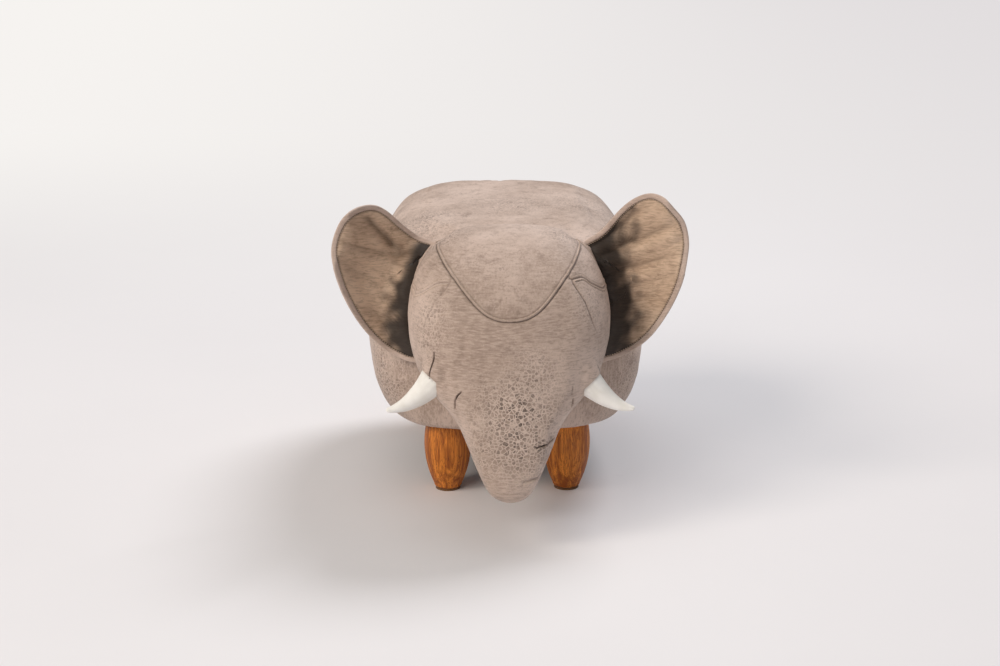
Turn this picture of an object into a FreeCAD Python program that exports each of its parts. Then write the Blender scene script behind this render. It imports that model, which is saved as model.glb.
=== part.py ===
"""Upholstered footstool in the shape of an elephant: a padded wooden box on turned
feet, with a stuffed head and trunk, two sewn ears, two tusks and a tail.

Frame: Z up from the floor, the head towards -Y, the mirror plane at X = 0.
"""

import FreeCAD, Part

import math
import os

import Sketcher

V = FreeCAD.Vector

# Driving dimensions, in millimetres and degrees
SIZES = (
    # The padded body, to the outside of its cover
    ("body_half_width", 187.0),
    ("body_half_length", 212.5),
    ("body_mid", 77.5),
    ("body_bottom", 95.0),
    ("body_tall", 263.5),
    ("cover_thickness", 1.8),
    ("soft_gap", 0.3),
    ("seam_gap", 0.3),
    ("side_seam_rise", 197.0),
    ("chest_seam_depth", 51.0),
    ("rump_seam_depth", 64.0),
    ("hem_width", 14.0),
    # The padding round the wooden box, and how far the base stands in from the body
    ("front_foam_depth", 39.0),
    ("rear_foam_depth", 62.0),
    ("side_foam_depth", 63.0),
    ("seat_foam_depth", 58.7),
    ("base_side_tuck", 9.0),
    ("base_front_tuck", 11.0),
    ("base_rear_tuck", 9.0),
    # The wooden box
    ("base_corner", 90.0),
    ("base_thickness", 15.0),
    ("panel_thickness", 12.0),
    ("seat_board_thickness", 12.0),
    ("seat_board_overhang", 6.0),
    ("seat_board_corner", 24.0),
    ("batten_width", 20.0),
    ("screw_radius", 2.0),
    ("screw_length", 38.0),
    ("screw_head_radius", 4.0),
    ("screw_head_tall", 2.5),
    ("screw_edge", 28.0),
    # The underside
    ("dust_cover_thickness", 1.0),
    ("staple_inset", 4.0),
    ("staple_crown", 10.0),
    ("staple_wire", 0.8),
    ("staple_leg", 7.0),
    ("staple_pitch", 46.0),
    # The feet and what holds them
    ("foot_side_clear", 33.0),
    ("foot_end_clear", 12.0),
    ("pad_thickness", 2.5),
    ("pad_radius", 16.5),
    ("foot_base_radius", 18.5),
    ("foot_edge", 5.0),
    ("foot_belly_radius", 31.0),
    ("foot_belly_height", 64.0),
    ("foot_top_radius", 27.5),
    ("bolt_radius", 4.0),
    ("bolt_in_foot", 28.0),
    ("bolt_above_base", 6.0),
    ("fit_gap", 0.05),
    ("nut_barrel_radius", 5.5),
    ("nut_flange_radius", 9.5),
    ("nut_flange_thickness", 1.5),
    # The stuffed head and its trunk
    ("head_half_width", 128.5),
    ("head_front", 107.0),
    ("head_back", 76.0),
    ("head_lead", 23.0),
    ("head_rise", 5.5),
    ("trunk_drop", 35.0),
    ("trunk_split", 204.0),
    ("throat_drop", 168.0),
    ("throat_lead", 47.0),
    ("throat_slope", 85.0),
    ("tongue_drop", 84.0),
    ("tongue_root_drop", 12.0),
    ("tongue_root_side", 97.0),
    ("cheek_drop", 172.0),
    # The tusks
    ("tusk_root_radius", 22.0),
    ("tusk_tip_radius", 2.6),
    ("tusk_root_side", 80.0),
    ("tusk_root_lead", 73.0),
    ("tusk_root_drop", 144.5),
    ("tusk_side_reach", 72.7),
    ("tusk_front_reach", 20.0),
    ("tusk_drop", 50.7),
    ("tusk_cover", 1.2),
    # The ears
    ("ear_low_side", 128.0),
    ("ear_low_back", 27.0),
    ("ear_low_drop", 152.0),
    ("ear_top_side", 122.0),
    ("ear_top_back", 49.0),
    ("ear_top_drop", 36.0),
    ("ear_width", 105.0),
    ("ear_tall", 192.0),
    ("ear_cup_radius", 150.0),
    ("ear_cup_middle", 60.0),
    ("ear_panel", 1.6),
    ("ear_core", 2.6),
    ("ear_core_inset", 9.0),
    ("ear_ply_gap", 0.15),
    ("ear_forward", 18.0),
    ("ear_root_radius", 7.0),
    # The tail
    ("tail_rise", 169.0),
    ("tail_gap", 0.3),
    ("tail_collar_radius", 7.0),
    ("tail_collar_length", 12.0),
    ("tail_radius", 5.0),
    ("tail_length", 108.0),
    ("tail_tuft_radius", 12.0),
    ("tail_tuft_length", 54.0),
    ("tail_tab_radius", 5.5),
    ("tail_stand_off", 5.0),
    # How far cutting shapes run past what they cut
    ("overrun", 20.0),
)

# Levels of the body: shares of its height, half width and half length to the front
# and to the rear
BODY_LEVEL_SHARES = (
    (0.0, 0.802, 0.953, 0.835),
    (0.034, 0.856, 0.962, 0.875),
    (0.102, 0.925, 0.979, 0.932),
    (0.201, 0.979, 0.993, 0.974),
    (0.330, 1.0, 1.0, 1.0),
    (0.512, 0.995, 1.0, 0.993),
    (0.664, 0.957, 0.988, 0.965),
    (0.778, 0.905, 0.96, 0.935),
    (0.861, 0.848, 0.913, 0.90),
    (0.930, 0.770, 0.835, 0.845),
    (0.972, 0.655, 0.735, 0.765),
    (0.992, 0.50, 0.58, 0.63),
    (1.0, 0.29, 0.36, 0.39),
)
BODY_CORNER_SHARE = 0.5
BODY_BULGE_SHARE = 0.04

# Levels of the head and trunk: shares of its height, half width, place forward of
# the head's middle, reach to the front and reach to the back
HEAD_LEVEL_SHARES = (
    (0.0, 0.056, 1.234, 0.06, 0.08),
    (0.008, 0.118, 1.234, 0.118, 0.165),
    (0.033, 0.202, 1.215, 0.186, 0.272),
    (0.092, 0.283, 1.159, 0.27, 0.365),
    (0.181, 0.377, 1.047, 0.34, 0.48),
    (0.289, 0.495, 0.86, 0.441, 0.634),
    (0.339, 0.606, 0.654, 0.617, 0.724),
    (0.388, 0.755, 0.411, 0.822, 0.868),
    (0.444, 0.872, 0.243, 0.944, 0.974),
    (0.51, 0.942, 0.131, 1.0, 1.026),
    (0.592, 0.988, 0.056, 1.019, 1.026),
    (0.684, 1.0, 0.0, 1.0, 1.0),
    (0.773, 0.965, -0.056, 0.944, 0.974),
    (0.849, 0.895, -0.121, 0.86, 0.921),
    (0.911, 0.802, -0.196, 0.738, 0.842),
    (0.954, 0.685, -0.262, 0.598, 0.737),
    (0.984, 0.514, -0.318, 0.411, 0.579),
    (1.0, 0.233, -0.355, 0.187, 0.289),
)
HEAD_CORNER_SHARE = 0.55
HEAD_BULGE_SHARE = 0.09

# Half of the tongue's outline, from its tip: shares of its half width and depth
TONGUE_SHARES = ((0.0, 0.0), (0.23, 0.05), (0.46, 0.26), (0.66, 0.55), (0.83, 0.79), (1.0, 1.0))
# The two seams that part at the tongue and bound the cheek, below and above: shares of
# the head's half width and of the way from the cheek's bottom to the head's top
CHEEK_SEAM_SHARES = ((0.56, 0.75), (0.69, 0.64), (0.78, 0.506), (0.84, 0.366), (0.87, 0.0))
TEMPLE_SEAM_SHARES = ((0.56, 0.75), (0.70, 0.744), (0.864, 0.651), (1.16, 0.58))
# The ear's edge from the lower end of its root: shares of its width and height
EAR_OUTLINE_SHARES = (
    (0.0, -0.073),
    (0.27, -0.015),
    (0.61, 0.2),
    (0.87, 0.45),
    (0.98, 0.705),
    (0.85, 0.92),
    (0.56, 1.0),
    (0.27, 0.92),
    (0.07, 0.84),
    (0.0, 0.79),
)
# The height that the stiffener's edge draws in towards
EAR_CENTRE_SHARE = 0.46
# The tusk: shares of its length at which its sections stand
TUSK_STEP_SHARES = (0.0, 0.2, 0.4, 0.6, 0.8, 0.95, 1.0)
TUSK_HOLLOW_SHARE = 0.93
# The tuft: shares of its length and radius
TUFT_SHARES = ((0.0, 0.42), (0.25, 0.8), (0.55, 1.0), (0.85, 0.62), (1.0, 0.15))

# Places and lengths that follow from the driving dimensions
BOTTOM_WIDTH, BOTTOM_FRONT, BOTTOM_REAR = BODY_LEVEL_SHARES[0][1:]
DERIVED = (
    ("body_front", "body_mid - body_half_length"),
    ("body_rear", "body_mid + body_half_length"),
    ("body_top", "body_bottom + body_tall"),
    ("side_seam_height", "body_bottom + side_seam_rise"),
    ("chest_seam", "body_front + chest_seam_depth"),
    ("rump_seam", "body_rear - rump_seam_depth"),
    ("base_half_width", f"{BOTTOM_WIDTH} * body_half_width - base_side_tuck"),
    ("base_front", f"body_mid - {BOTTOM_FRONT} * body_half_length + base_front_tuck"),
    ("base_rear", f"body_mid + {BOTTOM_REAR} * body_half_length - base_rear_tuck"),
    ("base_mid", "(base_front + base_rear) / 2"),
    ("base_half_length", "(base_rear - base_front) / 2"),
    ("frame_half_width", "body_half_width - side_foam_depth"),
    ("frame_front", "body_front + front_foam_depth"),
    ("frame_rear", "body_rear - rear_foam_depth"),
    ("frame_mid", "(frame_front + frame_rear) / 2"),
    ("frame_half_length", "(frame_rear - frame_front) / 2"),
    ("boards_tall", "cover_thickness + base_thickness + seat_board_thickness"),
    ("frame_tall", "body_tall - boards_tall - seat_foam_depth"),
    ("foot_side", "frame_half_width - panel_thickness - foot_side_clear"),
    ("front_foot_place", "frame_front + panel_thickness + foot_end_clear"),
    ("rear_foot_place", "frame_rear - panel_thickness - foot_end_clear"),
    ("head_place", "body_front - head_lead"),
    ("head_top", "body_top + head_rise"),
    ("trunk_bottom", "body_bottom - trunk_drop"),
    ("trunk_top", "head_top - trunk_split"),
    ("throat_top", "head_top - throat_drop"),
    ("throat_front", "head_place - throat_lead"),
    ("tongue_tip", "head_top - tongue_drop"),
    ("tongue_root_height", "head_top - tongue_root_drop"),
    ("cheek_bottom", "head_top - cheek_drop"),
    ("tusk_root_place", "head_place - tusk_root_lead"),
    ("tusk_root_height", "head_top - tusk_root_drop"),
    ("ear_low_place", "head_place + ear_low_back"),
    ("ear_low_height", "head_top - ear_low_drop"),
    ("ear_top_place", "head_place + ear_top_back"),
    ("ear_top_height", "head_top - ear_top_drop"),
    ("tail_height", "body_bottom + tail_rise"),
)
ALIASES = [alias for alias, _ in SIZES + DERIVED]

document = FreeCAD.newDocument("elephant_footstool")
sheet = document.addObject("Spreadsheet::Sheet", "sizes")
for row, (alias, value) in enumerate(SIZES + DERIVED, start=1):
    sheet.set(f"A{row}", alias)
    sheet.set(f"B{row}", f"={value}" if isinstance(value, str) else str(value))
    sheet.setAlias(f"B{row}", alias)
document.recompute()

nodes = []


def size(alias):
    """One dimension, as the sheet holds it."""
    return float(sheet.get(alias))


def cells(text):
    """An expression in which each word that names a cell reads it from the sheet."""
    out = ""
    word = ""
    for letter in text + " ":
        if letter.isalnum() or letter == "_":
            word += letter
            continue
        out += f"sizes.{word}" if word in ALIASES else word
        out += letter
        word = ""
    return out.strip()


def bind(thing, **expressions):
    """Ties properties of an object to the sheet; x, y and z are its place."""
    for name, text in expressions.items():
        path = f".Placement.Base.{name}" if name in ("x", "y", "z") else name
        thing.setExpression(path, cells(text))
    return thing


def node(thing, label):
    """Keeps an object as a sub-part of that name."""
    thing.Label = label
    nodes.append(thing)
    return thing


def solid(label, shape):
    """A sub-part whose form is worked out from the sheet."""
    thing = document.addObject("Part::Feature", label)
    thing.Shape = shape
    return node(thing, label)


def box(label, length, width, height, x, y, z):
    thing = document.addObject("Part::Box", label)
    return bind(thing, Length=length, Width=width, Height=height, x=x, y=y, z=z)


def cylinder(label, radius, height, x, y, z):
    thing = document.addObject("Part::Cylinder", label)
    return bind(thing, Radius=radius, Height=height, x=x, y=y, z=z)


def joined(label, parts, kind="Part::MultiFuse"):
    thing = document.addObject(kind, label)
    if kind == "Part::Compound":
        thing.Links = parts
    else:
        thing.Shapes = parts
    return thing


def drilled(label, base, tool):
    thing = document.addObject("Part::Cut", label)
    thing.Base = base
    thing.Tool = tool
    return thing


def origin_plane(body, role):
    return next(item for item in body.Origin.OriginFeatures if item.Role == role)


def new_sketch(body, name, role, height="0"):
    """A sketch on one of the body's own origin planes, lifted by an expression."""
    sketch = body.newObject("Sketcher::SketchObject", name)
    sketch.AttachmentSupport = [(origin_plane(body, role), "")]
    sketch.MapMode = "FlatFace"
    if height != "0":
        sketch.setExpression(".AttachmentOffset.Base.z", cells(height))
    return sketch


def dimension(sketch, kind, where, value, expression):
    """A driving constraint that reads the sheet."""
    index = sketch.addConstraint(Sketcher.Constraint(kind, *where, value))
    sketch.setExpression(f"Constraints[{index}]", cells(expression))


def rounded_board(label, half_width, half_length, mid, corner, bottom, thickness):
    """A flat board with rounded corners, as a padded sketch. All are expressions."""
    body = document.addObject("PartDesign::Body", label)
    sketch = new_sketch(body, f"{label}_outline", "XY_Plane", bottom)
    w, l, m, r = (number(text) for text in (half_width, half_length, mid, corner))
    low, high = m - l, m + l
    runs = (
        (V(r - w, low, 0), V(w - r, low, 0)),
        (V(w, low + r, 0), V(w, high - r, 0)),
        (V(w - r, high, 0), V(r - w, high, 0)),
        (V(-w, high - r, 0), V(-w, low + r, 0)),
    )
    centres = (V(w - r, low + r, 0), V(w - r, high - r, 0), V(r - w, high - r, 0), V(r - w, low + r, 0))
    lines = [sketch.addGeometry(Part.LineSegment(*run)) for run in runs]
    quarter = math.pi / 2
    arcs = []
    for turn, centre in enumerate(centres):
        start = (turn - 1) * quarter
        circle = Part.Circle(centre, V(0, 0, 1), r)
        arcs.append(sketch.addGeometry(Part.ArcOfCircle(circle, start, start + quarter)))
    for turn, arc in enumerate(arcs):
        sketch.addConstraint(Sketcher.Constraint("Tangent", lines[turn], 2, arc, 1))
        sketch.addConstraint(Sketcher.Constraint("Tangent", arc, 2, lines[(turn + 1) % 4], 1))
    for line, way in zip(lines, ("Horizontal", "Vertical") * 2):
        sketch.addConstraint(Sketcher.Constraint(way, line))
    for arc in arcs[1:]:
        sketch.addConstraint(Sketcher.Constraint("Equal", arcs[0], arc))
    dimension(sketch, "Radius", (arcs[0],), r, corner)
    dimension(sketch, "DistanceX", (-1, 1, lines[1], 1), w, half_width)
    dimension(sketch, "DistanceX", (lines[3], 1, -1, 1), w, half_width)
    dimension(sketch, "DistanceY", (-1, 1, lines[2], 1), high, f"{mid} + {half_length}")
    dimension(sketch, "DistanceY", (lines[0], 1, -1, 1), -low, f"{half_length} - {mid}")
    pad = body.newObject("PartDesign::Pad", f"{label}_pad")
    pad.Profile = sketch
    pad.setExpression("Length", cells(thickness))
    document.recompute()
    return body


def number(text):
    """The value of an expression of the sheet's sizes, for a first sketch."""
    total = 0.0
    sign = 1.0
    for word in text.replace("+", " + ").replace("-", " - ").split():
        if word in "+-":
            sign = 1.0 if word == "+" else -1.0
            continue
        total += sign * size(word)
    return total


BASE_LOW = "body_bottom + cover_thickness"
BASE_TOP = f"{BASE_LOW} + base_thickness"
FRAME_TOP = f"{BASE_TOP} + frame_tall"
FOOT_PLACES = [(side, place) for place in ("front", "rear") for side in ("left", "right")]


def foot_x(side):
    """The head looks along -Y, so the elephant's left is at +X."""
    return "foot_side" if side == "left" else "-foot_side"


def box_frame():
    """The base board, the four frame panels, the battens and the seat board."""
    base = rounded_board(
        "base_board", "base_half_width", "base_half_length", "base_mid",
        "base_corner", BASE_LOW, "base_thickness",
    )
    holes = new_sketch(base, "base_holes", "XY_Plane", BASE_LOW)
    for side, place in FOOT_PLACES:
        x = size("foot_side") * (1 if side == "left" else -1)
        y = size(f"{place}_foot_place")
        radius = size("nut_barrel_radius") + size("fit_gap")
        hole = holes.addGeometry(Part.Circle(V(x, y, 0), V(0, 0, 1), radius))
        dimension(holes, "Radius", (hole,), radius, "nut_barrel_radius + fit_gap")
        dimension(holes, "DistanceX", (-1, 1, hole, 3), x, foot_x(side))
        dimension(holes, "DistanceY", (-1, 1, hole, 3), y, f"{place}_foot_place")
    pocket = base.newObject("PartDesign::Pocket", "base_hole_pocket")
    pocket.Profile = holes
    pocket.Type = "ThroughAll"
    pocket.Midplane = True
    document.recompute()
    node(base, "base_board")

    long_side = "2 * frame_half_length"
    short_side = "2 * frame_half_width - 2 * panel_thickness"
    node(box("left_panel", "panel_thickness", long_side, "frame_tall",
             "frame_half_width - panel_thickness", "frame_front", BASE_TOP), "left_panel")
    node(box("right_panel", "panel_thickness", long_side, "frame_tall",
             "-frame_half_width", "frame_front", BASE_TOP), "right_panel")
    node(box("front_panel", short_side, "panel_thickness", "frame_tall",
             "panel_thickness - frame_half_width", "frame_front", BASE_TOP), "front_panel")
    node(box("rear_panel", short_side, "panel_thickness", "frame_tall",
             "panel_thickness - frame_half_width",
             "frame_rear - panel_thickness", BASE_TOP), "rear_panel")
    for side, place in FOOT_PLACES:
        x = "frame_half_width - panel_thickness - batten_width"
        if side == "right":
            x = "panel_thickness - frame_half_width"
        y = "frame_front + panel_thickness"
        if place == "rear":
            y = "frame_rear - panel_thickness - batten_width"
        label = f"{place}_{side}_batten"
        node(box(label, "batten_width", "batten_width", "frame_tall", x, y, BASE_TOP), label)
    seat = rounded_board(
        "seat_board", "frame_half_width + seat_board_overhang",
        "frame_half_length + seat_board_overhang", "frame_mid",
        "seat_board_corner", FRAME_TOP, "seat_board_thickness",
    )
    node(seat, "seat_board")


def frame_screws():
    """Three countersunk screws through each end of both side panels."""
    screws = []
    for side, place in FOOT_PLACES:
        for level in range(3):
            name = f"{place}_{side}_screw_{level}"
            shank = document.addObject("Part::Cylinder", name)
            head = document.addObject("Part::Cone", f"{name}_head")
            turn = FreeCAD.Rotation(V(0, 1, 0), -90 if side == "left" else 90)
            y = "frame_front + panel_thickness / 2"
            if place == "rear":
                y = "frame_rear - panel_thickness / 2"
            z = f"{BASE_TOP} + screw_edge + {level} * (frame_tall / 2 - screw_edge)"
            x = "frame_half_width" if side == "left" else "-frame_half_width"
            for item in (shank, head):
                item.Placement = FreeCAD.Placement(V(0, 0, 0), turn)
                bind(item, x=x, y=y, z=z)
            bind(shank, Radius="screw_radius", Height="screw_length")
            bind(head, Radius1="screw_head_radius", Radius2="screw_radius",
                 Height="screw_head_tall")
            screws.append(joined(f"{name}_whole", [shank, head]))
    node(joined("frame_screws", screws, "Part::Compound"), "frame_screws")


def feet():
    """Four turned feet with their felt pads, bolts and T-nuts."""
    pads, bolts, nuts = [], [], []
    for side, place in FOOT_PLACES:
        label = f"{place}_{side}_foot"
        x, y = foot_x(side), f"{place}_foot_place"
        turned_foot(label, x, y)
        pads.append(cylinder(f"{label}_pad", "pad_radius", "pad_thickness", x, y, "0 mm"))
        bolts.append(cylinder(
            f"{label}_bolt", "bolt_radius",
            "bolt_in_foot + cover_thickness + base_thickness + bolt_above_base",
            x, y, "body_bottom - bolt_in_foot",
        ))
        barrel = cylinder(f"{label}_nut_barrel", "nut_barrel_radius", "base_thickness",
                          x, y, BASE_LOW)
        flange = cylinder(f"{label}_nut_flange", "nut_flange_radius",
                          "nut_flange_thickness", x, y, BASE_TOP)
        bore = cylinder(f"{label}_nut_bore", "bolt_radius + fit_gap",
                        "base_thickness + 2 * overrun", x, y, f"{BASE_LOW} - overrun")
        nuts.append(drilled(f"{label}_nut", joined(f"{label}_nut_blank", [barrel, flange]), bore))
    node(joined("foot_pads", pads, "Part::Compound"), "foot_pads")
    node(joined("foot_bolts", bolts, "Part::Compound"), "foot_bolts")
    node(joined("t_nuts", nuts, "Part::Compound"), "t_nuts")


def turned_foot(label, x, y):
    """A barrel-shaped foot: a revolved outline of two arcs over a rounded base."""
    body = document.addObject("PartDesign::Body", label)
    sketch = new_sketch(body, f"{label}_outline", "XZ_Plane")
    bottom, top = size("pad_thickness"), size("body_bottom")
    base, edge = size("foot_base_radius"), size("foot_edge")
    belly, waist = size("foot_belly_radius"), size("foot_belly_height")
    crown = size("foot_top_radius")
    bore = size("bolt_radius") + size("fit_gap")
    floor = top - size("bolt_in_foot")

    def barrel_arc(radius, height):
        """Centre and radius of the arc that stands upright at the belly."""
        across, up = belly - radius, height - waist
        arc_radius = (across * across + up * up) / (2 * across)
        return V(belly - arc_radius, waist, 0), arc_radius

    corners = (V(0, bottom, 0), V(base - edge, bottom, 0), V(base, bottom + edge, 0),
               V(belly, waist, 0), V(crown, top, 0), V(bore, top, 0),
               V(bore, floor, 0), V(0, floor, 0))
    geometry = [sketch.addGeometry(Part.LineSegment(corners[0], corners[1]))]
    edge_circle = Part.Circle(V(base - edge, bottom + edge, 0), V(0, 0, 1), edge)
    geometry.append(sketch.addGeometry(Part.ArcOfCircle(edge_circle, -math.pi / 2, 0)))
    centre, radius = barrel_arc(base, bottom + edge)
    start = math.atan2(bottom + edge - waist, base - centre.x)
    lower = Part.ArcOfCircle(Part.Circle(centre, V(0, 0, 1), radius), start, 0)
    geometry.append(sketch.addGeometry(lower))
    centre, radius = barrel_arc(crown, top)
    finish = math.atan2(top - waist, crown - centre.x)
    upper = Part.ArcOfCircle(Part.Circle(centre, V(0, 0, 1), radius), 0, finish)
    geometry.append(sketch.addGeometry(upper))
    for first, second in zip(corners[4:], corners[5:] + corners[:1]):
        geometry.append(sketch.addGeometry(Part.LineSegment(first, second)))
    for first, second in zip(geometry, geometry[1:] + geometry[:1]):
        sketch.addConstraint(Sketcher.Constraint("Coincident", first, 2, second, 1))
    bottom_line, edge_arc, lower_arc, upper_arc, top_line, bore_line, floor_line, axis_line = geometry
    for line in (bottom_line, top_line, floor_line):
        sketch.addConstraint(Sketcher.Constraint("Horizontal", line))
    sketch.addConstraint(Sketcher.Constraint("Vertical", bore_line))
    sketch.addConstraint(Sketcher.Constraint("PointOnObject", bottom_line, 1, -2))
    sketch.addConstraint(Sketcher.Constraint("PointOnObject", axis_line, 1, -2))
    for arc in (lower_arc, upper_arc):
        sketch.addConstraint(Sketcher.Constraint("Horizontal", arc, 3, upper_arc, 1))
    sketch.addConstraint(Sketcher.Constraint("Vertical", edge_arc, 1, edge_arc, 3))
    dimension(sketch, "DistanceY", (-1, 1, bottom_line, 1), bottom, "pad_thickness")
    dimension(sketch, "DistanceX", (-1, 1, bottom_line, 2), base - edge, "foot_base_radius - foot_edge")
    dimension(sketch, "DistanceX", (-1, 1, edge_arc, 2), base, "foot_base_radius")
    dimension(sketch, "DistanceY", (-1, 1, edge_arc, 2), bottom + edge, "pad_thickness + foot_edge")
    dimension(sketch, "DistanceX", (-1, 1, lower_arc, 2), belly, "foot_belly_radius")
    dimension(sketch, "DistanceY", (-1, 1, lower_arc, 2), waist, "foot_belly_height")
    dimension(sketch, "DistanceX", (-1, 1, upper_arc, 2), crown, "foot_top_radius")
    dimension(sketch, "DistanceY", (-1, 1, upper_arc, 2), top, "body_bottom")
    dimension(sketch, "DistanceX", (-1, 1, top_line, 2), bore, "bolt_radius + fit_gap")
    dimension(sketch, "DistanceY", (-1, 1, bore_line, 2), floor, "body_bottom - bolt_in_foot")
    spin = body.newObject("PartDesign::Revolution", f"{label}_turning")
    spin.Profile = sketch
    spin.ReferenceAxis = (sketch, ["V_Axis"])
    spin.Angle = 360
    bind(body, x=x, y=y)
    document.recompute()
    node(body, label)


def quarter_curve(half_width, reach, corner_share, bulge_share):
    """Points of a quarter outline: a bulged side, a rounded corner and a bulged end,
    each an arc that runs smoothly into the next."""
    corner = corner_share * min(half_width, reach)
    side_bulge, end_bulge = bulge_share * half_width, bulge_share * reach
    x, y = half_width - corner - side_bulge, reach - corner - end_bulge
    side_radius = y * y / (2 * side_bulge) + corner + side_bulge / 2
    end_radius = x * x / (2 * end_bulge) + corner + end_bulge / 2
    side_centre, end_centre = half_width - side_radius, reach - end_radius
    side_angle = math.atan2(y, x - side_centre)
    end_angle = math.atan2(y - end_centre, x)
    middle = (side_angle + end_angle) / 2
    return (
        (side_centre + side_radius * math.cos(side_angle / 2), side_radius * math.sin(side_angle / 2)),
        (side_centre + side_radius * math.cos(side_angle), side_radius * math.sin(side_angle)),
        (x + corner * math.cos(middle), y + corner * math.sin(middle)),
        (end_radius * math.cos(end_angle), end_centre + end_radius * math.sin(end_angle)),
    )


def plump_section(height, half_width, mid, front, back, corner_share, bulge_share):
    """A level outline with bulged sides and rounded corners, in tangent arcs."""
    curves = {
        -1: quarter_curve(half_width, front, corner_share, bulge_share),
        1: quarter_curve(half_width, back, corner_share, bulge_share),
    }
    reach = {-1: front, 1: back}
    edges = []

    def arc(*points):
        edges.append(Part.Arc(*(V(x, y, height) for x, y in points)).toShape())

    for end in (1, -1):
        first = end
        side, turn, corner, finish = (
            [(sign * first * x, mid + end * y) for sign in (1, -1)]
            for x, y in curves[end]
        )
        arc((first * half_width, mid), side[0], turn[0])
        arc(turn[0], corner[0], finish[0])
        arc(finish[0], (0, mid + end * reach[end]), finish[1])
        arc(finish[1], corner[1], turn[1])
        arc(turn[1], side[1], (-first * half_width, mid))
    return Part.Wire(edges)


def body_form(inset):
    """The padded body, drawn in on all sides by the inset."""
    half_tall = size("body_tall") / 2
    centre = size("body_bottom") + half_tall
    squeeze = (half_tall - inset) / half_tall
    sections = []
    for level, wide, front, back in BODY_LEVEL_SHARES:
        height = centre + (2 * level - 1) * half_tall * squeeze
        sections.append(plump_section(
            height,
            wide * size("body_half_width") - inset,
            size("body_mid"),
            front * size("body_half_length") - inset,
            back * size("body_half_length") - inset,
            BODY_CORNER_SHARE,
            BODY_BULGE_SHARE,
        ))
    return Part.makeLoft(sections, True, True)


def head_form(inset):
    """The stuffed head and trunk in one swelling and tapering form, drawn in."""
    half_tall = (size("head_top") - size("trunk_bottom")) / 2
    centre = size("trunk_bottom") + half_tall
    squeeze = (half_tall - inset) / half_tall
    sections = []
    for level, wide, forward, front, back in HEAD_LEVEL_SHARES:
        half_width = wide * size("head_half_width")
        drawn_in = min(inset, half_width / 2)
        sections.append(plump_section(
            centre + (2 * level - 1) * half_tall * squeeze,
            half_width - drawn_in,
            size("head_place") - forward * size("head_front"),
            front * size("head_front") - drawn_in,
            back * size("head_back") - drawn_in,
            HEAD_CORNER_SHARE,
            HEAD_BULGE_SHARE,
        ))
    return Part.makeLoft(sections, True, True)


def block(x_low, x_high, y_low, y_high, z_low, z_high):
    return Part.makeBox(x_high - x_low, y_high - y_low, z_high - z_low, V(x_low, y_low, z_low))


def prism(points, direction):
    """A closed outline, straight from point to point, pushed along a direction."""
    return Part.Face(Part.makePolygon(points + points[:1])).extrude(direction)


def rounded_prism(half_width, half_length, mid, corner, low, high):
    """The upright prism of a board's outline."""
    blank = block(-half_width, half_width, mid - half_length, mid + half_length, low, high)
    upright = [edge for edge in blank.Edges if abs(edge.tangentAt(edge.FirstParameter).z) > 0.5]
    return blank.makeFillet(corner, upright)


def sole(shape):
    """The largest solid of a shape, without the slivers that its cutting left."""
    return max(shape.Solids, key=lambda item: item.Volume)


def padding(ear_roots):
    """The foams that round the box, each cut from one inset form."""
    gap = size("soft_gap")
    form = body_form(size("cover_thickness") + gap)
    over = size("overrun")
    wide = size("body_half_width") + over
    low, high = size("body_front") - over, size("body_rear") + over
    bottom, top = size("body_bottom") - over, size("body_top") + over
    base_low = size("body_bottom") + size("cover_thickness")
    base_top = base_low + size("base_thickness")
    frame_top = base_top + size("frame_tall")
    board_top = frame_top + size("seat_board_thickness")
    half_x, half_y = size("frame_half_width"), size("frame_half_length")
    front, rear = size("frame_front"), size("frame_rear")
    lip = size("seat_board_overhang")
    base = rounded_prism(size("base_half_width"), size("base_half_length"), size("base_mid"),
                         size("base_corner"), bottom, base_top)
    seat = rounded_prism(half_x + lip, half_y + lip, size("frame_mid"), size("seat_board_corner"),
                         frame_top, board_top)
    box_block = block(-half_x, half_x, front, rear, bottom, frame_top)
    solid("seat_foam", sole(form.common(block(-wide, wide, low, high, board_top, top)).cut(ear_roots)))
    ring = form.common(block(-wide, wide, low, high, bottom, board_top))
    ring = ring.cut([base, seat, box_block, ear_roots])
    parts = {
        "left_foam": block(half_x, wide, front, rear, bottom, top),
        "right_foam": block(-wide, -half_x, front, rear, bottom, top),
        "front_foam": block(-wide, wide, low, front, bottom, top),
        "rear_foam": block(-wide, wide, rear, high, bottom, top),
    }
    for label, part in parts.items():
        solid(label, sole(ring.common(part)))


def tongue_prism(grown):
    """What lies over the forehead tongue, seen from the front, grown by a gap."""
    half, tip = size("tongue_root_side"), size("tongue_tip")
    depth = size("tongue_root_height") - tip
    front = size("head_place") - size("head_front") - size("overrun") * 3
    points = [V(share * (half + grown), front, tip - grown + drop * depth)
              for share, drop in TONGUE_SHARES]
    points = [V(-point.x, point.y, point.z) for point in reversed(points[1:])] + points
    curve = Part.BSplineCurve()
    curve.interpolate(points)
    top = size("head_top") + size("overrun")
    corners = [points[-1], V(points[-1].x, front, top), V(points[0].x, front, top), points[0]]
    wire = Part.Wire([curve.toShape()] + Part.makePolygon(corners).Edges)
    return Part.Face(wire).extrude(V(0, -front, 0))


def seam_line(sign, front, shares):
    """The points of a seam of the head, seen from the front."""
    low = size("cheek_bottom")
    tall = size("head_top") - low
    return [V(sign * wide * size("head_half_width"), front, low + level * tall)
            for wide, level in shares]


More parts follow.
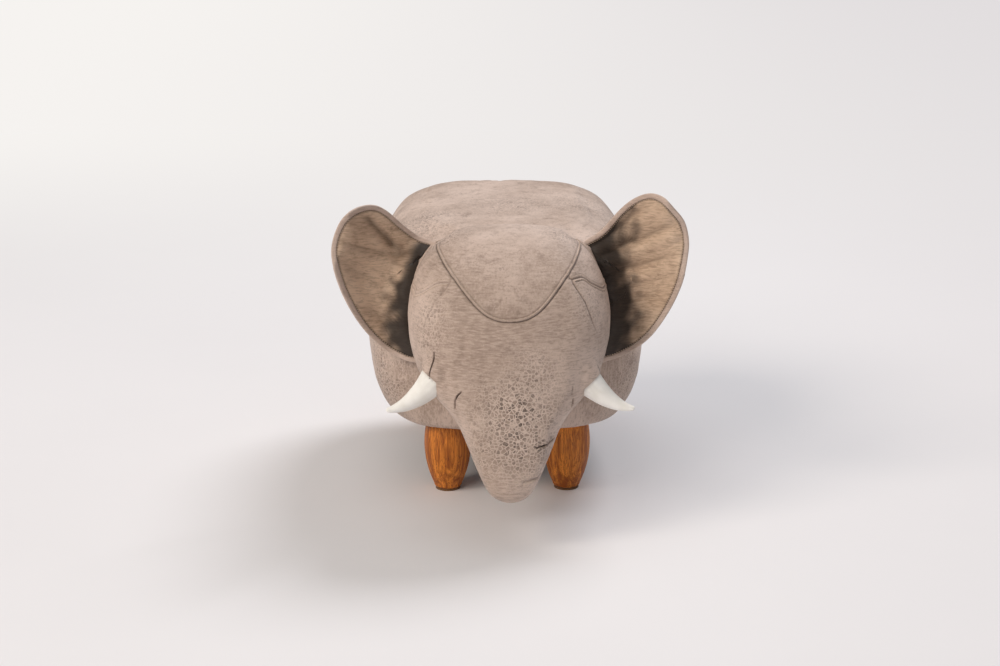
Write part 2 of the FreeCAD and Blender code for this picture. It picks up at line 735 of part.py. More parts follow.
def covers(ear_roots):
    """The sewn panels of the cover, cut from the skins of the body and the head."""
    thick, gap, seam = size("cover_thickness"), size("soft_gap"), size("seam_gap")
    over = size("overrun")
    outer = body_form(0)
    skin = outer.cut(body_form(thick))
    mid, hem = size("base_mid"), size("hem_width")
    bottom = size("body_bottom")
    opening = rounded_prism(size("base_half_width") - hem, size("base_half_length") - hem, mid,
                            size("base_corner") - hem, bottom - over,
                            bottom + thick + size("base_thickness") / 2)
    skin = skin.cut([opening, ear_roots])
    wide = size("body_half_width") + over
    low, high = size("body_front") - over, size("body_rear") + over
    top = size("body_top") + over
    split = size("side_seam_height")
    chest, rump = size("chest_seam"), size("rump_seam")
    panels = {
        "chest_cover": block(-wide, wide, low, chest, bottom - over, split - seam),
        "rump_cover": block(-wide, wide, rump, high, bottom - over, split - seam),
        "left_side_cover": block(over / 2, wide, chest + seam, rump - seam, bottom - over, split - seam),
        "right_side_cover": block(-wide, -over / 2, chest + seam, rump - seam, bottom - over, split - seam),
    }
    for label, part in panels.items():
        solid(label, sole(skin.common(part)))
    seat_skin = skin.common(block(-wide, wide, low, high, split, top))

    head_outer = head_form(0)
    head_skin = head_outer.cut(head_form(thick))
    tongue = head_skin.common(tongue_prism(0)).cut(outer).cut(ear_roots)
    solid("seat_cover", sole(seat_skin.fuse(tongue)))

    rest = head_skin.cut([body_form(-gap), tongue_prism(seam), ear_roots])
    front = size("head_place") - size("head_front") - 3 * over
    outside = size("head_half_width") + over
    for sign, name in ((1, "left"), (-1, "right")):
        cheek_seam = seam_line(sign, front, CHEEK_SEAM_SHARES)
        temple_seam = seam_line(sign, front, TEMPLE_SEAM_SHARES)
        corner = V(sign * outside, front, size("cheek_bottom"))
        way = V(0, -front, 0)
        cheek = prism(cheek_seam + [corner] + temple_seam[:0:-1], way)
        lifted = [point + V(0, 0, seam) for point in temple_seam]
        top_corners = [V(lifted[end].x, front, size("head_top") + over) for end in (-1, 0)]
        temple = prism(lifted + top_corners, way)
        solid(f"{name}_cheek_cover", sole(rest.common(cheek)))
        solid(f"{name}_temple_cover", sole(rest.common(temple)))
        rest = rest.cut([cheek, temple])
    slope = size("throat_slope")
    throat_top, throat_front = size("throat_top"), size("throat_front")
    back = size("head_place") + size("head_back") + over
    drop = throat_top - size("trunk_bottom") + over
    throat = prism(
        [V(-outside, back, throat_top), V(-outside, throat_front, throat_top),
         V(-outside, throat_front - slope, throat_top - drop), V(-outside, back, throat_top - drop)],
        V(2 * outside, 0, 0),
    )
    solid("trunk_under_cover", sole(rest.common(throat)))
    solid("face_cover", sole(rest.cut(throat)))
    filling = head_form(thick + gap).cut([body_form(-gap), ear_roots])
    split_at = size("trunk_top")
    side_box = (-outside, outside, front, -front)
    solid("head_filling", sole(filling.common(block(*side_box, split_at, top + over))))
    solid("trunk_filling", sole(filling.common(block(*side_box, 0, split_at))))


def ring(centre, direction, radius):
    """A circle round a direction, in four arcs."""
    normal = V(direction).normalize()
    across = normal.cross(V(0, 0, 1)).normalize()
    up = across.cross(normal)

    def point(eighth):
        angle = eighth * math.pi / 4
        return centre + across * radius * math.cos(angle) + up * radius * math.sin(angle)

    return Part.Wire([Part.Arc(point(turn), point(turn + 1), point(turn + 2)).toShape()
                      for turn in (0, 2, 4, 6)])


def tusk_form(sign, inset, last):
    """A tapered horn that runs out and down and levels off at its tip."""
    start, finish = size("tusk_root_radius"), size("tusk_tip_radius")
    sections = []
    for share in TUSK_STEP_SHARES:
        along = share * last
        centre = V(
            sign * (size("tusk_root_side") + along * size("tusk_side_reach")),
            size("tusk_root_place") - along * size("tusk_front_reach"),
            size("tusk_root_height") - size("tusk_drop") * along * (2 - along),
        )
        direction = V(sign * size("tusk_side_reach"), -size("tusk_front_reach"),
                      -2 * size("tusk_drop") * (1 - along))
        radius = start + (finish - start) * along - inset
        sections.append(ring(centre, direction, radius))
    return Part.makeLoft(sections, True, True)


def tusks():
    """Two stuffed tusks that start at the face's cover."""
    face = head_form(-size("soft_gap"))
    for sign, name in ((1, "left"), (-1, "right")):
        whole = tusk_form(sign, 0, 1)
        hollow = tusk_form(sign, size("tusk_cover"), TUSK_HOLLOW_SHARE)
        stuffing = tusk_form(sign, size("tusk_cover") + size("ear_ply_gap"), TUSK_HOLLOW_SHARE)
        solid(f"{name}_tusk_cover", sole(whole.cut([hollow, face])))
        solid(f"{name}_tusk_filling", sole(stuffing.cut(face)))


def ear_place(sign):
    """The lower end of the ear's root and the directions out, up the root and to the front."""
    low = V(sign * size("ear_low_side"), size("ear_low_place"), size("ear_low_height"))
    high = V(sign * size("ear_top_side"), size("ear_top_place"), size("ear_top_height"))
    up = high - low
    length = up.Length
    up.normalize()
    turn = math.radians(size("ear_forward"))
    out = V(sign * math.cos(turn), -math.sin(turn), 0)
    out = (out - up * out.dot(up)).normalize()
    front = out.cross(up)
    if front.y > 0:
        front = front * -1
    return low, out, up, front, length


def ear_root(sign, radius, beyond):
    """The round root of an ear, on the line that the ear folds about."""
    low, _, up, _, length = ear_place(sign)
    return Part.makeCylinder(radius, length + 2 * beyond, low - up * beyond, up)


def ear_sheet(sign, inner, outer, inset):
    """One ply of an ear: its outline pushed through a bent shell of that thickness."""
    low, out, up, front, _ = ear_place(sign)
    width, tall = size("ear_width"), size("ear_tall")
    bend = size("ear_cup_radius")
    points = []
    for across, along in EAR_OUTLINE_SHARES:
        u = inset + across * (width - 2 * inset)
        v = EAR_CENTRE_SHARE * tall + (along - EAR_CENTRE_SHARE) * (tall - 2 * inset)
        points.append(low + out * u + up * v - front * bend)
    curve = Part.BSplineCurve()
    curve.interpolate(points)
    outline = Part.Wire([curve.toShape(), Part.makeLine(points[-1], points[0])])
    slab = Part.Face(outline).extrude(front * (2 * bend))
    middle = size("ear_cup_middle")
    axis = low + out * middle + front * math.sqrt(bend * bend - middle * middle) - up * tall
    shell = Part.makeCylinder(outer, 3 * tall, axis, up).cut(
        Part.makeCylinder(inner, 3 * tall, axis, up))
    return slab.common(shell)


def ears():
    """Each ear: a front panel, a stiffener, and a back panel that is rolled at its root."""
    half = size("ear_core") / 2
    ply, gap = size("ear_panel"), size("ear_ply_gap")
    bend = size("ear_cup_radius")
    plies = (
        ("front", bend - half - gap - ply, bend - half - gap, 0),
        ("core", bend - half, bend + half, size("ear_core_inset")),
        ("back", bend + half + gap, bend + half + gap + ply, 0),
    )
    for sign, name in ((1, "left"), (-1, "right")):
        root = ear_root(sign, size("ear_root_radius"), 0)
        around_root = ear_root(sign, size("ear_root_radius") + gap, size("overrun"))
        for label, inner, outer, inset in plies:
            panel = ear_sheet(sign, inner, outer, inset)
            panel = panel.fuse(root) if label == "back" else panel.cut(around_root)
            solid(f"{name}_ear_{label}", sole(panel))


def underside():
    """The dust cover between the folded hems, and the staples round it."""
    cover_low = f"{BASE_LOW} - dust_cover_thickness"
    cover = rounded_board(
        "dust_cover", "base_half_width - hem_width - seam_gap",
        "base_half_length - hem_width - seam_gap", "base_mid",
        "base_corner - hem_width - seam_gap", cover_low, "dust_cover_thickness",
    )
    holes = new_sketch(cover, "dust_cover_holes", "XY_Plane", cover_low)
    for side, place in FOOT_PLACES:
        x = size("foot_side") * (1 if side == "left" else -1)
        y = size(f"{place}_foot_place")
        radius = size("bolt_radius") + size("fit_gap")
        hole = holes.addGeometry(Part.Circle(V(x, y, 0), V(0, 0, 1), radius))
        dimension(holes, "Radius", (hole,), radius, "bolt_radius + fit_gap")
        dimension(holes, "DistanceX", (-1, 1, hole, 3), x, foot_x(side))
        dimension(holes, "DistanceY", (-1, 1, hole, 3), y, f"{place}_foot_place")
    pocket = cover.newObject("PartDesign::Pocket", "dust_cover_pocket")
    pocket.Profile = holes
    pocket.Type = "ThroughAll"
    pocket.Midplane = True
    document.recompute()
    node(cover, "dust_cover")

    inset = size("hem_width") + size("staple_inset")
    track = rounded_prism(
        size("base_half_width") - inset, size("base_half_length") - inset, size("base_mid"),
        size("base_corner") - inset, 0, size("base_thickness"),
    )
    outline = next(face.OuterWire for face in track.Faces if face.normalAt(0, 0).z < -0.5)
    points = outline.discretize(int(outline.Length / size("staple_pitch")) + 1)[:-1]
    crown, wire, leg = size("staple_crown"), size("staple_wire"), size("staple_leg")
    low = size("body_bottom") + size("cover_thickness") - size("dust_cover_thickness") - wire
    feet_at = [V(number(foot_x(side)), size(f"{place}_foot_place"), 0) for side, place in FOOT_PLACES]
    staples = []
    for before, point, after in zip(points[-1:] + points[:-1], points, points[1:] + points[:1]):
        flat = V(point.x, point.y, 0)
        if min(flat.distanceToPoint(foot) for foot in feet_at) < size("foot_top_radius") + crown:
            continue
        angle = math.degrees(math.atan2(after.y - before.y, after.x - before.x))
        bar = Part.makeBox(crown, wire, wire, V(-crown / 2, -wire / 2, 0))
        legs = [Part.makeBox(wire, wire, leg, V(x, -wire / 2, 0)) for x in (-crown / 2, crown / 2 - wire)]
        staple = bar.fuse(legs).removeSplitter()
        staple.rotate(V(0, 0, 0), V(0, 0, 1), angle)
        staple.translate(V(point.x, point.y, low))
        staples.append(staple)
    solid("dust_cover_staples", Part.makeCompound(staples))


def tail():
    """A short tail that hangs from a tab on the rump and swings sideways."""
    rump = size("body_rear")
    height, gap = size("tail_height"), size("tail_gap")
    stand = size("tail_stand_off")
    face = rump + stand
    back = V(0, 1, 0)
    tab = Part.makeCylinder(size("tail_tab_radius"), stand + size("overrun"),
                            V(0, rump - size("overrun"), height), back)
    solid("tail_tab", sole(tab.cut(body_form(-gap / 2))))
    collar_length = size("tail_collar_length")
    collar = Part.makeCylinder(size("tail_collar_radius"), collar_length, V(0, face + gap, height), back)
    middle = face + gap + collar_length / 2
    cord = Part.makeCylinder(size("tail_radius"), size("tail_length"), V(0, middle, height), V(0, 0, -1))
    solid("tail_cord", collar.fuse(cord).removeSplitter())
    top = height - size("tail_length")
    sections = []
    for share, wide in TUFT_SHARES:
        centre = V(0, middle, top - share * size("tail_tuft_length"))
        circle_radius = wide * size("tail_tuft_radius")
        points = [centre + V(circle_radius * math.cos(turn * math.pi / 4),
                             circle_radius * math.sin(turn * math.pi / 4), 0) for turn in range(9)]
        arcs = [Part.Arc(*points[turn:turn + 3]).toShape() for turn in (0, 2, 4, 6)]
        sections.append(Part.Wire(arcs))
    solid("tail_tuft", Part.makeLoft(sections, True, True))


def write_parts():
    """Checks every object and sub-part, then writes one file for each."""
    document.recompute()
    for thing in document.Objects:
        if "Invalid" in thing.State or "Error" in thing.State:
            raise RuntimeError(f"{thing.Label} failed: {thing.State}")
    labels = [thing.Label for thing in nodes]
    if len(set(labels)) != len(labels):
        raise RuntimeError("two sub-parts share a name")
    os.makedirs("parts", exist_ok=True)
    for thing in nodes:
        shape = thing.Shape
        if shape.isNull() or not shape.isValid() or not shape.Solids:
            raise RuntimeError(f"{thing.Label} has no valid solid")
    for thing in nodes:
        thing.Shape.exportStep(f"parts/{thing.Label}.step")
        print(thing.Label, len(thing.Shape.Solids), round(thing.Shape.Volume))


ear_roots = Part.makeCompound([
    ear_root(sign, size("ear_root_radius") + size("soft_gap"), size("overrun")) for sign in (1, -1)
])
box_frame()
frame_screws()
feet()
padding(ear_roots)
covers(ear_roots)
tusks()
ears()
underside()
tail()
write_parts()
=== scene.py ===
"""The looks of the elephant footstool: its leather skin in sewn panels over the stuffed
body, head and trunk, its two-ply ears, cloth tusks, tail, turned feet and underside.

Lengths are in metres unless a name says MM. The elephant looks towards -Y, and its own
left is at +X.
"""

import math

import bmesh
import bpy
import numpy as np
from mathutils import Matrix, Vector, noise
from mathutils.bvhtree import BVHTree
from mathutils.kdtree import KDTree


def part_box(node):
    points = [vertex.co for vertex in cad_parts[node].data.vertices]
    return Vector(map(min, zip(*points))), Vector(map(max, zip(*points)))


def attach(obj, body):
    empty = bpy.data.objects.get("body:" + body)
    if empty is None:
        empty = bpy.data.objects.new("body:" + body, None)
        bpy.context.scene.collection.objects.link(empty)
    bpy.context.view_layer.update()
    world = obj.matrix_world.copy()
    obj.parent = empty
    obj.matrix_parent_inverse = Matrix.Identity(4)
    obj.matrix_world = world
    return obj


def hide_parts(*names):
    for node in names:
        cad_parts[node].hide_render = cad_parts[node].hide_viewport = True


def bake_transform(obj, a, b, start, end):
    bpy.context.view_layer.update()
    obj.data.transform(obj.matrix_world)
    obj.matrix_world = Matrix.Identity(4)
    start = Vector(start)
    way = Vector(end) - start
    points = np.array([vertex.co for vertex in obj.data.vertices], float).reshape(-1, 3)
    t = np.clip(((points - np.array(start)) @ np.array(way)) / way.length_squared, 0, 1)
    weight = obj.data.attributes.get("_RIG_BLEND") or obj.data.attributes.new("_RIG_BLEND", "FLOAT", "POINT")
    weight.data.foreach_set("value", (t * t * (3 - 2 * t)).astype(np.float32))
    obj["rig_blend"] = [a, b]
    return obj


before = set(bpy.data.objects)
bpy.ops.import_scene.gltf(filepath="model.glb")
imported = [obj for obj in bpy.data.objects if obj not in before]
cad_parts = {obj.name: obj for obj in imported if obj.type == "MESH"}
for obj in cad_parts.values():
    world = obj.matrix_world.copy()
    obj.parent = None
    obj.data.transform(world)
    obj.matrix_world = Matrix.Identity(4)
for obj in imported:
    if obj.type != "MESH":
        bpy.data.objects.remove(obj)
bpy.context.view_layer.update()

MM = 0.001
# Corners nearer than this are one corner
SAME_PLACE = 0.000002

# The camera
EYE_MM = (-59.3, -2587.3, 935.0)
VIEW_TURN = -1.3
VIEW_DROP = 16.0
LENS = 72.0
SENSOR = 36.0
VIEW_SHIFT = -0.0055

# The leather skin
SKIN_VOXEL = 0.005
SKIN_EASE_ROUNDS = 10
SKIN_THICKNESS = 0.0016
CLOTH_PRESSURE = 4.0
CLOTH_FRAMES = 20
CLOTH_CAP = 0.003

PANELS = {
    "seat": ("seat_cover", "seat_foam"),
    "chest": ("chest_cover", "front_foam"),
    "rump": ("rump_cover", "rear_foam"),
    "left_side": ("left_side_cover", "left_foam"),
    "right_side": ("right_side_cover", "right_foam"),
    "left_cheek": ("left_cheek_cover",),
    "right_cheek": ("right_cheek_cover",),
    "left_temple": ("left_temple_cover",),
    "right_temple": ("right_temple_cover",),
    "trunk_under": ("trunk_under_cover", "trunk_filling"),
    "face": ("face_cover", "head_filling"),
}
BODY_PANELS = ("seat", "chest", "rump", "left_side", "right_side")
BOARDS = ("base_board", "left_panel", "right_panel", "front_panel", "rear_panel", "seat_board")
OPEN = "open"
OPEN_NODES = ("dust_cover", "base_board")

# Seams: how deep and how wide they draw the leather in, and how much painted shade darkens them
NO_SEAM = (0.0, 0.001, 0.0)
PLAIN_SEAM = (0.0005, 0.0012, 0.15)
FAINT_SEAM = (0.0008, 0.0012, 0.25)
FACE_SEAM = (0.0013, 0.0012, 0.6)
TONGUE_SEAM = (0.0016, 0.0010, 0.85)
THROAT_SEAM = (0.0012, 0.0015, 0.6)
NECK_CREASE = (0.0035, 0.0040, 0.8)
# Where the head's own seams run: the panel beyond, the one before, and the way across
HEAD_SEAMS_MM = (
    ("left_temple", "left_cheek", (0, 0, 1),
     ((72, -220, 323), (90, -205, 324), (99, -204, 316), (112, -190, 306), (118, -176, 300))),
    ("left_cheek", "face", (1, 0, 0),
     ((75.8, -220.7, 320.6), (85.4, -226.9, 307), (92.6, -230, 296.4), (98.7, -233.2, 279.5),
      (105.2, -228.7, 262))),
    ("right_temple", "right_cheek", (0, 0, 1),
     ((-63.6, -222.4, 323.1), (-89.4, -213.8, 318.5), (-108.1, -201.4, 303.9), (-118, -184, 296))),
    ("right_cheek", "face", (-1, 0, 0),
     ((-73.4, -223.2, 319.6), (-93.1, -228.9, 297.2), (-104, -228, 275), (-107, -226, 262))),
)
HEAD_SEAM_REACH = 0.02
SMALL_PATCH = 120
SETTLE_ROUNDS = 4
BORDER_ROUNDS = 45
BESIDE_ROUNDS = 5
# How near to a seam or a tuck the skin's mesh is made finer, and finer again
FINER_REACH = 0.016
FINEST_REACH = 0.009
TUCK_REACH = 0.005
# A topstitched seam: its reach, where its raised band (with a painted highlight) and its sewn groove lie
# and how wide and high they are, and how much painted shade darkens the groove beside the seam itself
STITCHED_REACH = 0.012
BAND_INSET = 0.0023
BAND_WIDTH = 0.0011
BAND_RISE = 0.0010
STITCH_INSET = 0.0044
STITCH_WIDTH = 0.0008
STITCH_DEPTH = 0.0011
STITCH_SHADE = 0.35
SEAM_SHADE_WIDTH = 0.8

# The ears, seen from the front at the depth of their roots. Their edges run from the
# lower root corner round the outside to the upper one, and their roots back down.
EAR_DEPTH = -0.118
RIGHT_EAR_EDGE_MM = (
    (-104, 188), (-122, 188), (-139, 194), (-158, 205), (-178, 224), (-196, 249), (-212, 281),
    (-222, 314), (-224, 340), (-217, 365), (-206, 382), (-189, 393), (-171, 396), (-154, 389),
    (-130, 368), (-112, 355), (-92, 346),
)
LEFT_EAR_EDGE_MM = (
    (106, 184), (127, 188), (145, 194), (164, 204), (183, 220), (200, 243), (214, 269),
    (224, 296), (229, 325), (230, 348), (224, 372), (211, 389), (196, 404), (179, 409),
    (160, 403), (142, 389), (117, 361), (94, 345),
)
EAR_ROOT_MM = ((96, 330), (103, 304), (107, 275), (106, 246), (99, 215))


def mm(*lengths):
    """A place given in millimetres."""
    return Vector(lengths) * MM


def active(thing):
    """Selects one object alone and makes it the active one."""
    bpy.ops.object.select_all(action="DESELECT")
    thing.select_set(True)
    bpy.context.view_layer.objects.active = thing
    return thing


def from_bmesh(name, bm):
    """Turns a finished bmesh into an object in the scene."""
    mesh = bpy.data.meshes.new(name)
    bm.to_mesh(mesh)
    bm.free()
    thing = bpy.data.objects.new(name, mesh)
    bpy.context.scene.collection.objects.link(thing)
    return thing


def welded_copy(name, nodes):
    """One new mesh of these CAD nodes, with their loose triangles welded."""
    bm = bmesh.new()
    for node in nodes:
        bm.from_mesh(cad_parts[node].data)
    bmesh.ops.remove_doubles(bm, verts=bm.verts, dist=0.00001)
    return from_bmesh(name, bm)


def modified(thing, kind, **settings):
    """Adds a modifier with these settings and applies it."""
    modifier = thing.modifiers.new(kind.lower(), kind)
    for name, value in settings.items():
        setattr(modifier, name, value)
    active(thing)
    bpy.ops.object.modifier_apply(modifier=modifier.name)
    return thing


def smooth(thing):
    """Shades every face smooth."""
    for polygon in thing.data.polygons:
        polygon.use_smooth = True


def places(mesh):
    """The places of a mesh's corners as rows of an array."""
    found = np.zeros(len(mesh.vertices) * 3)
    mesh.vertices.foreach_get("co", found)
    return found.reshape(-1, 3)


def set_places(mesh, found):
    """Moves a mesh's corners to these places."""
    mesh.vertices.foreach_set("co", np.ascontiguousarray(found, np.float32).ravel())
    mesh.update()


def give_share(mesh, name, values):
    """Stores one number per corner of a mesh, for its finish to read."""
    layer = mesh.attributes.new(name, "FLOAT", "POINT")
    layer.data.foreach_set("value", np.asarray(values, np.float32))


def smoothstep(low, high, value):
    """Runs from 0 at low to 1 at high with soft ends, for one number or an array."""
    share = np.clip((value - low) / (high - low), 0, 1)
    return share * share * (3 - 2 * share)


def bell(away, wide):
    """A smooth hump, 1 where away is 0 and nearly gone at twice the width."""
    return math.exp(-((away / wide) ** 2))


def tree_of(points):
    """A search tree that finds the nearest of these points."""
    tree = KDTree(len(points))
    for index, point in enumerate(points):
        tree.insert(point, index)
    tree.balance()
    return tree


def loft(bm, rows, capped=False):
    """Joins closed rows of the same number of corners with faces."""
    for first, second in zip(rows, rows[1:]):
        for turn in range(len(first)):
            after = (turn + 1) % len(first)
            bm.faces.new((first[turn], first[after], second[after], second[turn]))
    if capped:
        bm.faces.new(rows[0][::-1])
        bm.faces.new(rows[-1])


# Node trees


class Finish:
    """A material in the making: adds nodes, links them and gives their outputs."""

    def __init__(self, name):
        """Starts a material with its one shader."""
        self.material = bpy.data.materials.new(name)
        self.material.use_nodes = True
        self.nodes = self.material.node_tree.nodes
        self.links = self.material.node_tree.links
        self.shader = self.nodes["Principled BSDF"]

    def put(self, value, socket):
        """Links another node's output to a socket, or sets its value."""
        if isinstance(value, bpy.types.NodeSocket):
            self.links.new(value, socket)
        else:
            socket.default_value = value

    def add(self, kind, output=0, settings=None, **inputs):
        """Adds a node with these settings and inputs, i0 and so on for unnamed ones."""
        node = self.nodes.new(kind)
        for name, value in (settings or {}).items():
            setattr(node, name, value)
        for name, value in inputs.items():
            key = int(name[1:]) if name[1:].isdigit() else name.replace("_", " ")
            self.put(value, node.inputs[key])
        return node.outputs[output]

    def place(self):
        """The surface's own rest place, which a fold or a turn doesn't change."""
        return self.add("ShaderNodeAttribute", "Vector", {"attribute_name": "rest_place"})

    def object_place(self):
        """The place on a piece that keeps its form."""
        return self.add("ShaderNodeTexCoord", "Object")

    def share(self, name):
        """A number stored with the mesh's corners."""
        return self.add("ShaderNodeAttribute", "Fac", {"attribute_name": name})

    def stretched(self, place, scale):
        """A place scaled by its own number each way."""
        return self.add("ShaderNodeMapping", Vector=place, Scale=scale)

    def noise(self, place, scale, detail=4.0, rough=0.55, warp=0.0):
        """Cloudy noise from 0 to 1."""
        return self.add("ShaderNodeTexNoise", "Fac", Vector=place, Scale=scale, Detail=detail,
                        Roughness=rough, Distortion=warp)

    def cells(self, place, scale, coloured=False):
        """The distance from the edges of a cell pattern, or a colour for each cell."""
        feature, output = ("F1", "Color") if coloured else ("DISTANCE_TO_EDGE", "Distance")
        return self.add("ShaderNodeTexVoronoi", output, {"feature": feature}, Vector=place,
                        Scale=scale)

    def ramp(self, value, low, high, out_low=0.0, out_high=1.0):
        """A soft step from out_low to out_high as the value goes from low to high."""
        return self.add("ShaderNodeMapRange", 0, {"interpolation_type": "SMOOTHSTEP"}, i0=value,
                        i1=low, i2=high, i3=out_low, i4=out_high)

    def mixed(self, share, first, second):
        """Mixes two numbers."""
        node = self.nodes.new("ShaderNodeMix")
        self.put(share, node.inputs[0])
        self.put(first, node.inputs[2])
        self.put(second, node.inputs[3])
        return node.outputs[0]

    def math(self, operation, first, second=0.0):
        """One sum on two numbers."""
        return self.add("ShaderNodeMath", 0, {"operation": operation}, i0=first, i1=second)

    def blend(self, share, first, second):
        """Mixes two colours."""
        node = self.nodes.new("ShaderNodeMix")
        node.data_type = "RGBA"
        self.put(share, node.inputs[0])
        self.put(first, node.inputs[6])
        self.put(second, node.inputs[7])
        return node.outputs[2]

    def bump(self, height, distance, strength):
        """A rough surface from heights."""
        node = self.nodes.new("ShaderNodeBump")
        node.inputs["Distance"].default_value = distance
        node.inputs["Strength"].default_value = strength
        self.links.new(height, node.inputs["Height"])
        return node.outputs["Normal"]

    def done(self, **inputs):
        """Fills the shader's own sockets and gives the finished material."""
        for name, value in inputs.items():
            self.put(value, self.shader.inputs[name.replace("_", " ")])
        return self.material


def tone(red, green, blue):
    """A colour given as it looks on a screen, from 0 to 255."""
    def linear(value):
        """Turns a screen value into an amount of light."""
        value /= 255
        return value / 12.92 if value <= 0.04045 else ((value + 0.055) / 1.055) ** 2.4

    return (linear(red), linear(green), linear(blue), 1.0)


def leather(name, light, middle, dark, pit_and_shade, crackle=1.0):
    """Distressed leather: cloudy tones, fine creases across or upright, and patches
    crackled into dark plates with worn edges. It also carries a painted highlight on raised
    seam bands and ear rims, and painted shade in seams, tucks, folds and about the ears' roots."""
    paint = Finish(name)
    place = paint.place()
    clouds = paint.noise(place, 9.0, 3.0, 0.6)
    mottle = paint.noise(place, 42.0, 5.0, 0.62, 0.6)
    level = paint.noise(paint.stretched(place, (95.0, 95.0, 520.0)), 1.0, 3.0, 0.62, 0.3)
    upright = paint.noise(paint.stretched(place, (430.0, 430.0, 70.0)), 1.0, 3.0, 0.62, 0.3)
    creases = paint.mixed(paint.share("upright"), level, upright)
    grain = paint.noise(place, 1500.0, 2.0, 0.6)
    warp = paint.add("ShaderNodeTexNoise", "Color", Vector=place, Scale=85.0, Detail=3.0)
    bent = paint.add("ShaderNodeVectorMath", 0, {"operation": "MULTIPLY_ADD"}, i0=warp,
                     i1=(0.007, 0.007, 0.005), i2=place)
    cracks = paint.cells(bent, 215.0)
    each = paint.cells(bent, 215.0, coloured=True)
    shade = paint.add("ShaderNodeSeparateColor", 0, None, Color=each)
    fine_cracks = paint.cells(bent, 520.0)
    patch = paint.math("MULTIPLY", paint.share("crackle"), paint.ramp(mottle, 0.32, 0.48))
    spread = paint.math("MULTIPLY", paint.ramp(paint.noise(place, 14.0, 5.0, 0.65), 0.58, 0.74), 0.4)
    patch = paint.math("MULTIPLY", paint.math("MAXIMUM", patch, spread), crackle)
    edges = paint.ramp(cracks, 0.17, 0.05)
    small_edges = paint.ramp(fine_cracks, 0.14, 0.04, 0.0, 0.35)
    edges = paint.math("MAXIMUM", edges, small_edges)
    plates = paint.math("SUBTRACT", 1.0, edges)

    colour = paint.blend(paint.ramp(clouds, 0.34, 0.68), middle, light)
    colour = paint.blend(paint.ramp(mottle, 0.5, 0.78, 0.0, 0.5), colour, dark)
    colour = paint.blend(paint.ramp(creases, 0.50, 0.62, 0.0, 0.42), colour, light)
    colour = paint.blend(paint.ramp(creases, 0.50, 0.38, 0.0, 0.32), colour, dark)
    colour = paint.blend(paint.ramp(grain, 0.42, 0.30, 0.0, 0.30), colour, dark)
    plate = paint.blend(paint.ramp(shade, 0.10, 0.70), pit_and_shade, paint.blend(0.4, dark, middle))
    worn = paint.blend(edges, plate, light)
    colour = paint.blend(paint.math("MULTIPLY", patch, 0.95), colour, worn)
    # Painted highlight: raised seam bands and ear rims are lightened as if they caught the light
    colour = paint.blend(paint.math("MULTIPLY", paint.share("band"), 0.45), colour, light)
    # Painted shade: seams, stitch grooves, tucks, ear folds and ear roots darken towards the darkest tone
    colour = paint.blend(paint.math("MULTIPLY", paint.share("painted_shade"), 0.94), colour, pit_and_shade)

    sunk = paint.math("MULTIPLY", paint.math("MULTIPLY", plates, patch), -0.6)
    height = paint.math("ADD", paint.math("MULTIPLY", creases, 0.7),
                        paint.math("MULTIPLY", grain, 0.15))
    height = paint.math("ADD", height, sunk)
    normal = paint.bump(height, 0.0010, 0.75)
    rough = paint.ramp(mottle, 0.3, 0.7, 0.58, 0.74)
    return paint.done(Base_Color=colour, Roughness=rough, Normal=normal, Specular_IOR_Level=0.34,
                      Sheen_Weight=0.08, Sheen_Roughness=0.5)


def stained_wood(name, light, dark):
    """Stained oak: upright grain in streaks, with short dark pores."""
    paint = Finish(name)
    place = paint.object_place()
    bands = paint.noise(paint.stretched(place, (120.0, 120.0, 7.0)), 1.0, 4.0, 0.6, 1.2)
    streaks = paint.noise(paint.stretched(place, (650.0, 650.0, 22.0)), 1.0, 4.0, 0.65, 0.3)
    pores = paint.noise(paint.stretched(place, (1500.0, 1500.0, 90.0)), 1.0, 2.0, 0.5)
    colour = paint.blend(paint.ramp(bands, 0.32, 0.7), dark, light)
    colour = paint.blend(paint.ramp(streaks, 0.48, 0.68, 0.0, 0.9), colour, dark)
    colour = paint.blend(paint.ramp(pores, 0.58, 0.70, 0.0, 0.85), colour, tone(80, 40, 14))
    height = paint.math("SUBTRACT", paint.math("MULTIPLY", streaks, 0.4), pores)
    return paint.done(Base_Color=colour, Roughness=paint.ramp(streaks, 0.3, 0.7, 0.42, 0.58),
                      Normal=paint.bump(height, 0.0005, 0.5), Specular_IOR_Level=0.4)


def raw_wood(name, light, dark, layers):
    """Raw plywood or sawn softwood, in level plies or a straight grain."""
    paint = Finish(name)
    place = paint.object_place()
    scale = (14.0, 14.0, 700.0) if layers else (260.0, 260.0, 9.0)
    grain = paint.noise(paint.stretched(place, scale), 1.0, 5.0, 0.6, 0.4)
    fine = paint.noise(place, 900.0, 3.0)
    colour = paint.blend(paint.ramp(grain, 0.3, 0.7), dark, light)
    return paint.done(Base_Color=colour, Roughness=0.8, Normal=paint.bump(fine, 0.0004, 0.4))


def zinc(name):
    """Zinc-plated steel with a faint spangle."""
    paint = Finish(name)
    place = paint.object_place()
    spangle = paint.noise(place, 600.0, 4.0, 0.6)
    return paint.done(Base_Color=paint.blend(spangle, tone(168, 170, 172), tone(205, 206, 206)),
                      Metallic=1.0, Roughness=paint.ramp(spangle, 0.3, 0.7, 0.28, 0.45),
                      Normal=paint.bump(spangle, 0.0001, 0.4))


def pressed_fibre(name, light, dark, scale):
    """Felt, non-woven cloth or any other cloth without a weave."""
    paint = Finish(name)
    place = paint.object_place()
    fibres = paint.noise(paint.stretched(place, (1.0, 0.35, 0.7)), scale, 6.0, 0.7, 1.4)
    return paint.done(Base_Color=paint.blend(paint.ramp(fibres, 0.3, 0.7), dark, light),
                      Roughness=0.92, Normal=paint.bump(fibres, 0.0004, 0.7),
                      Specular_IOR_Level=0.2, Sheen_Weight=0.2)


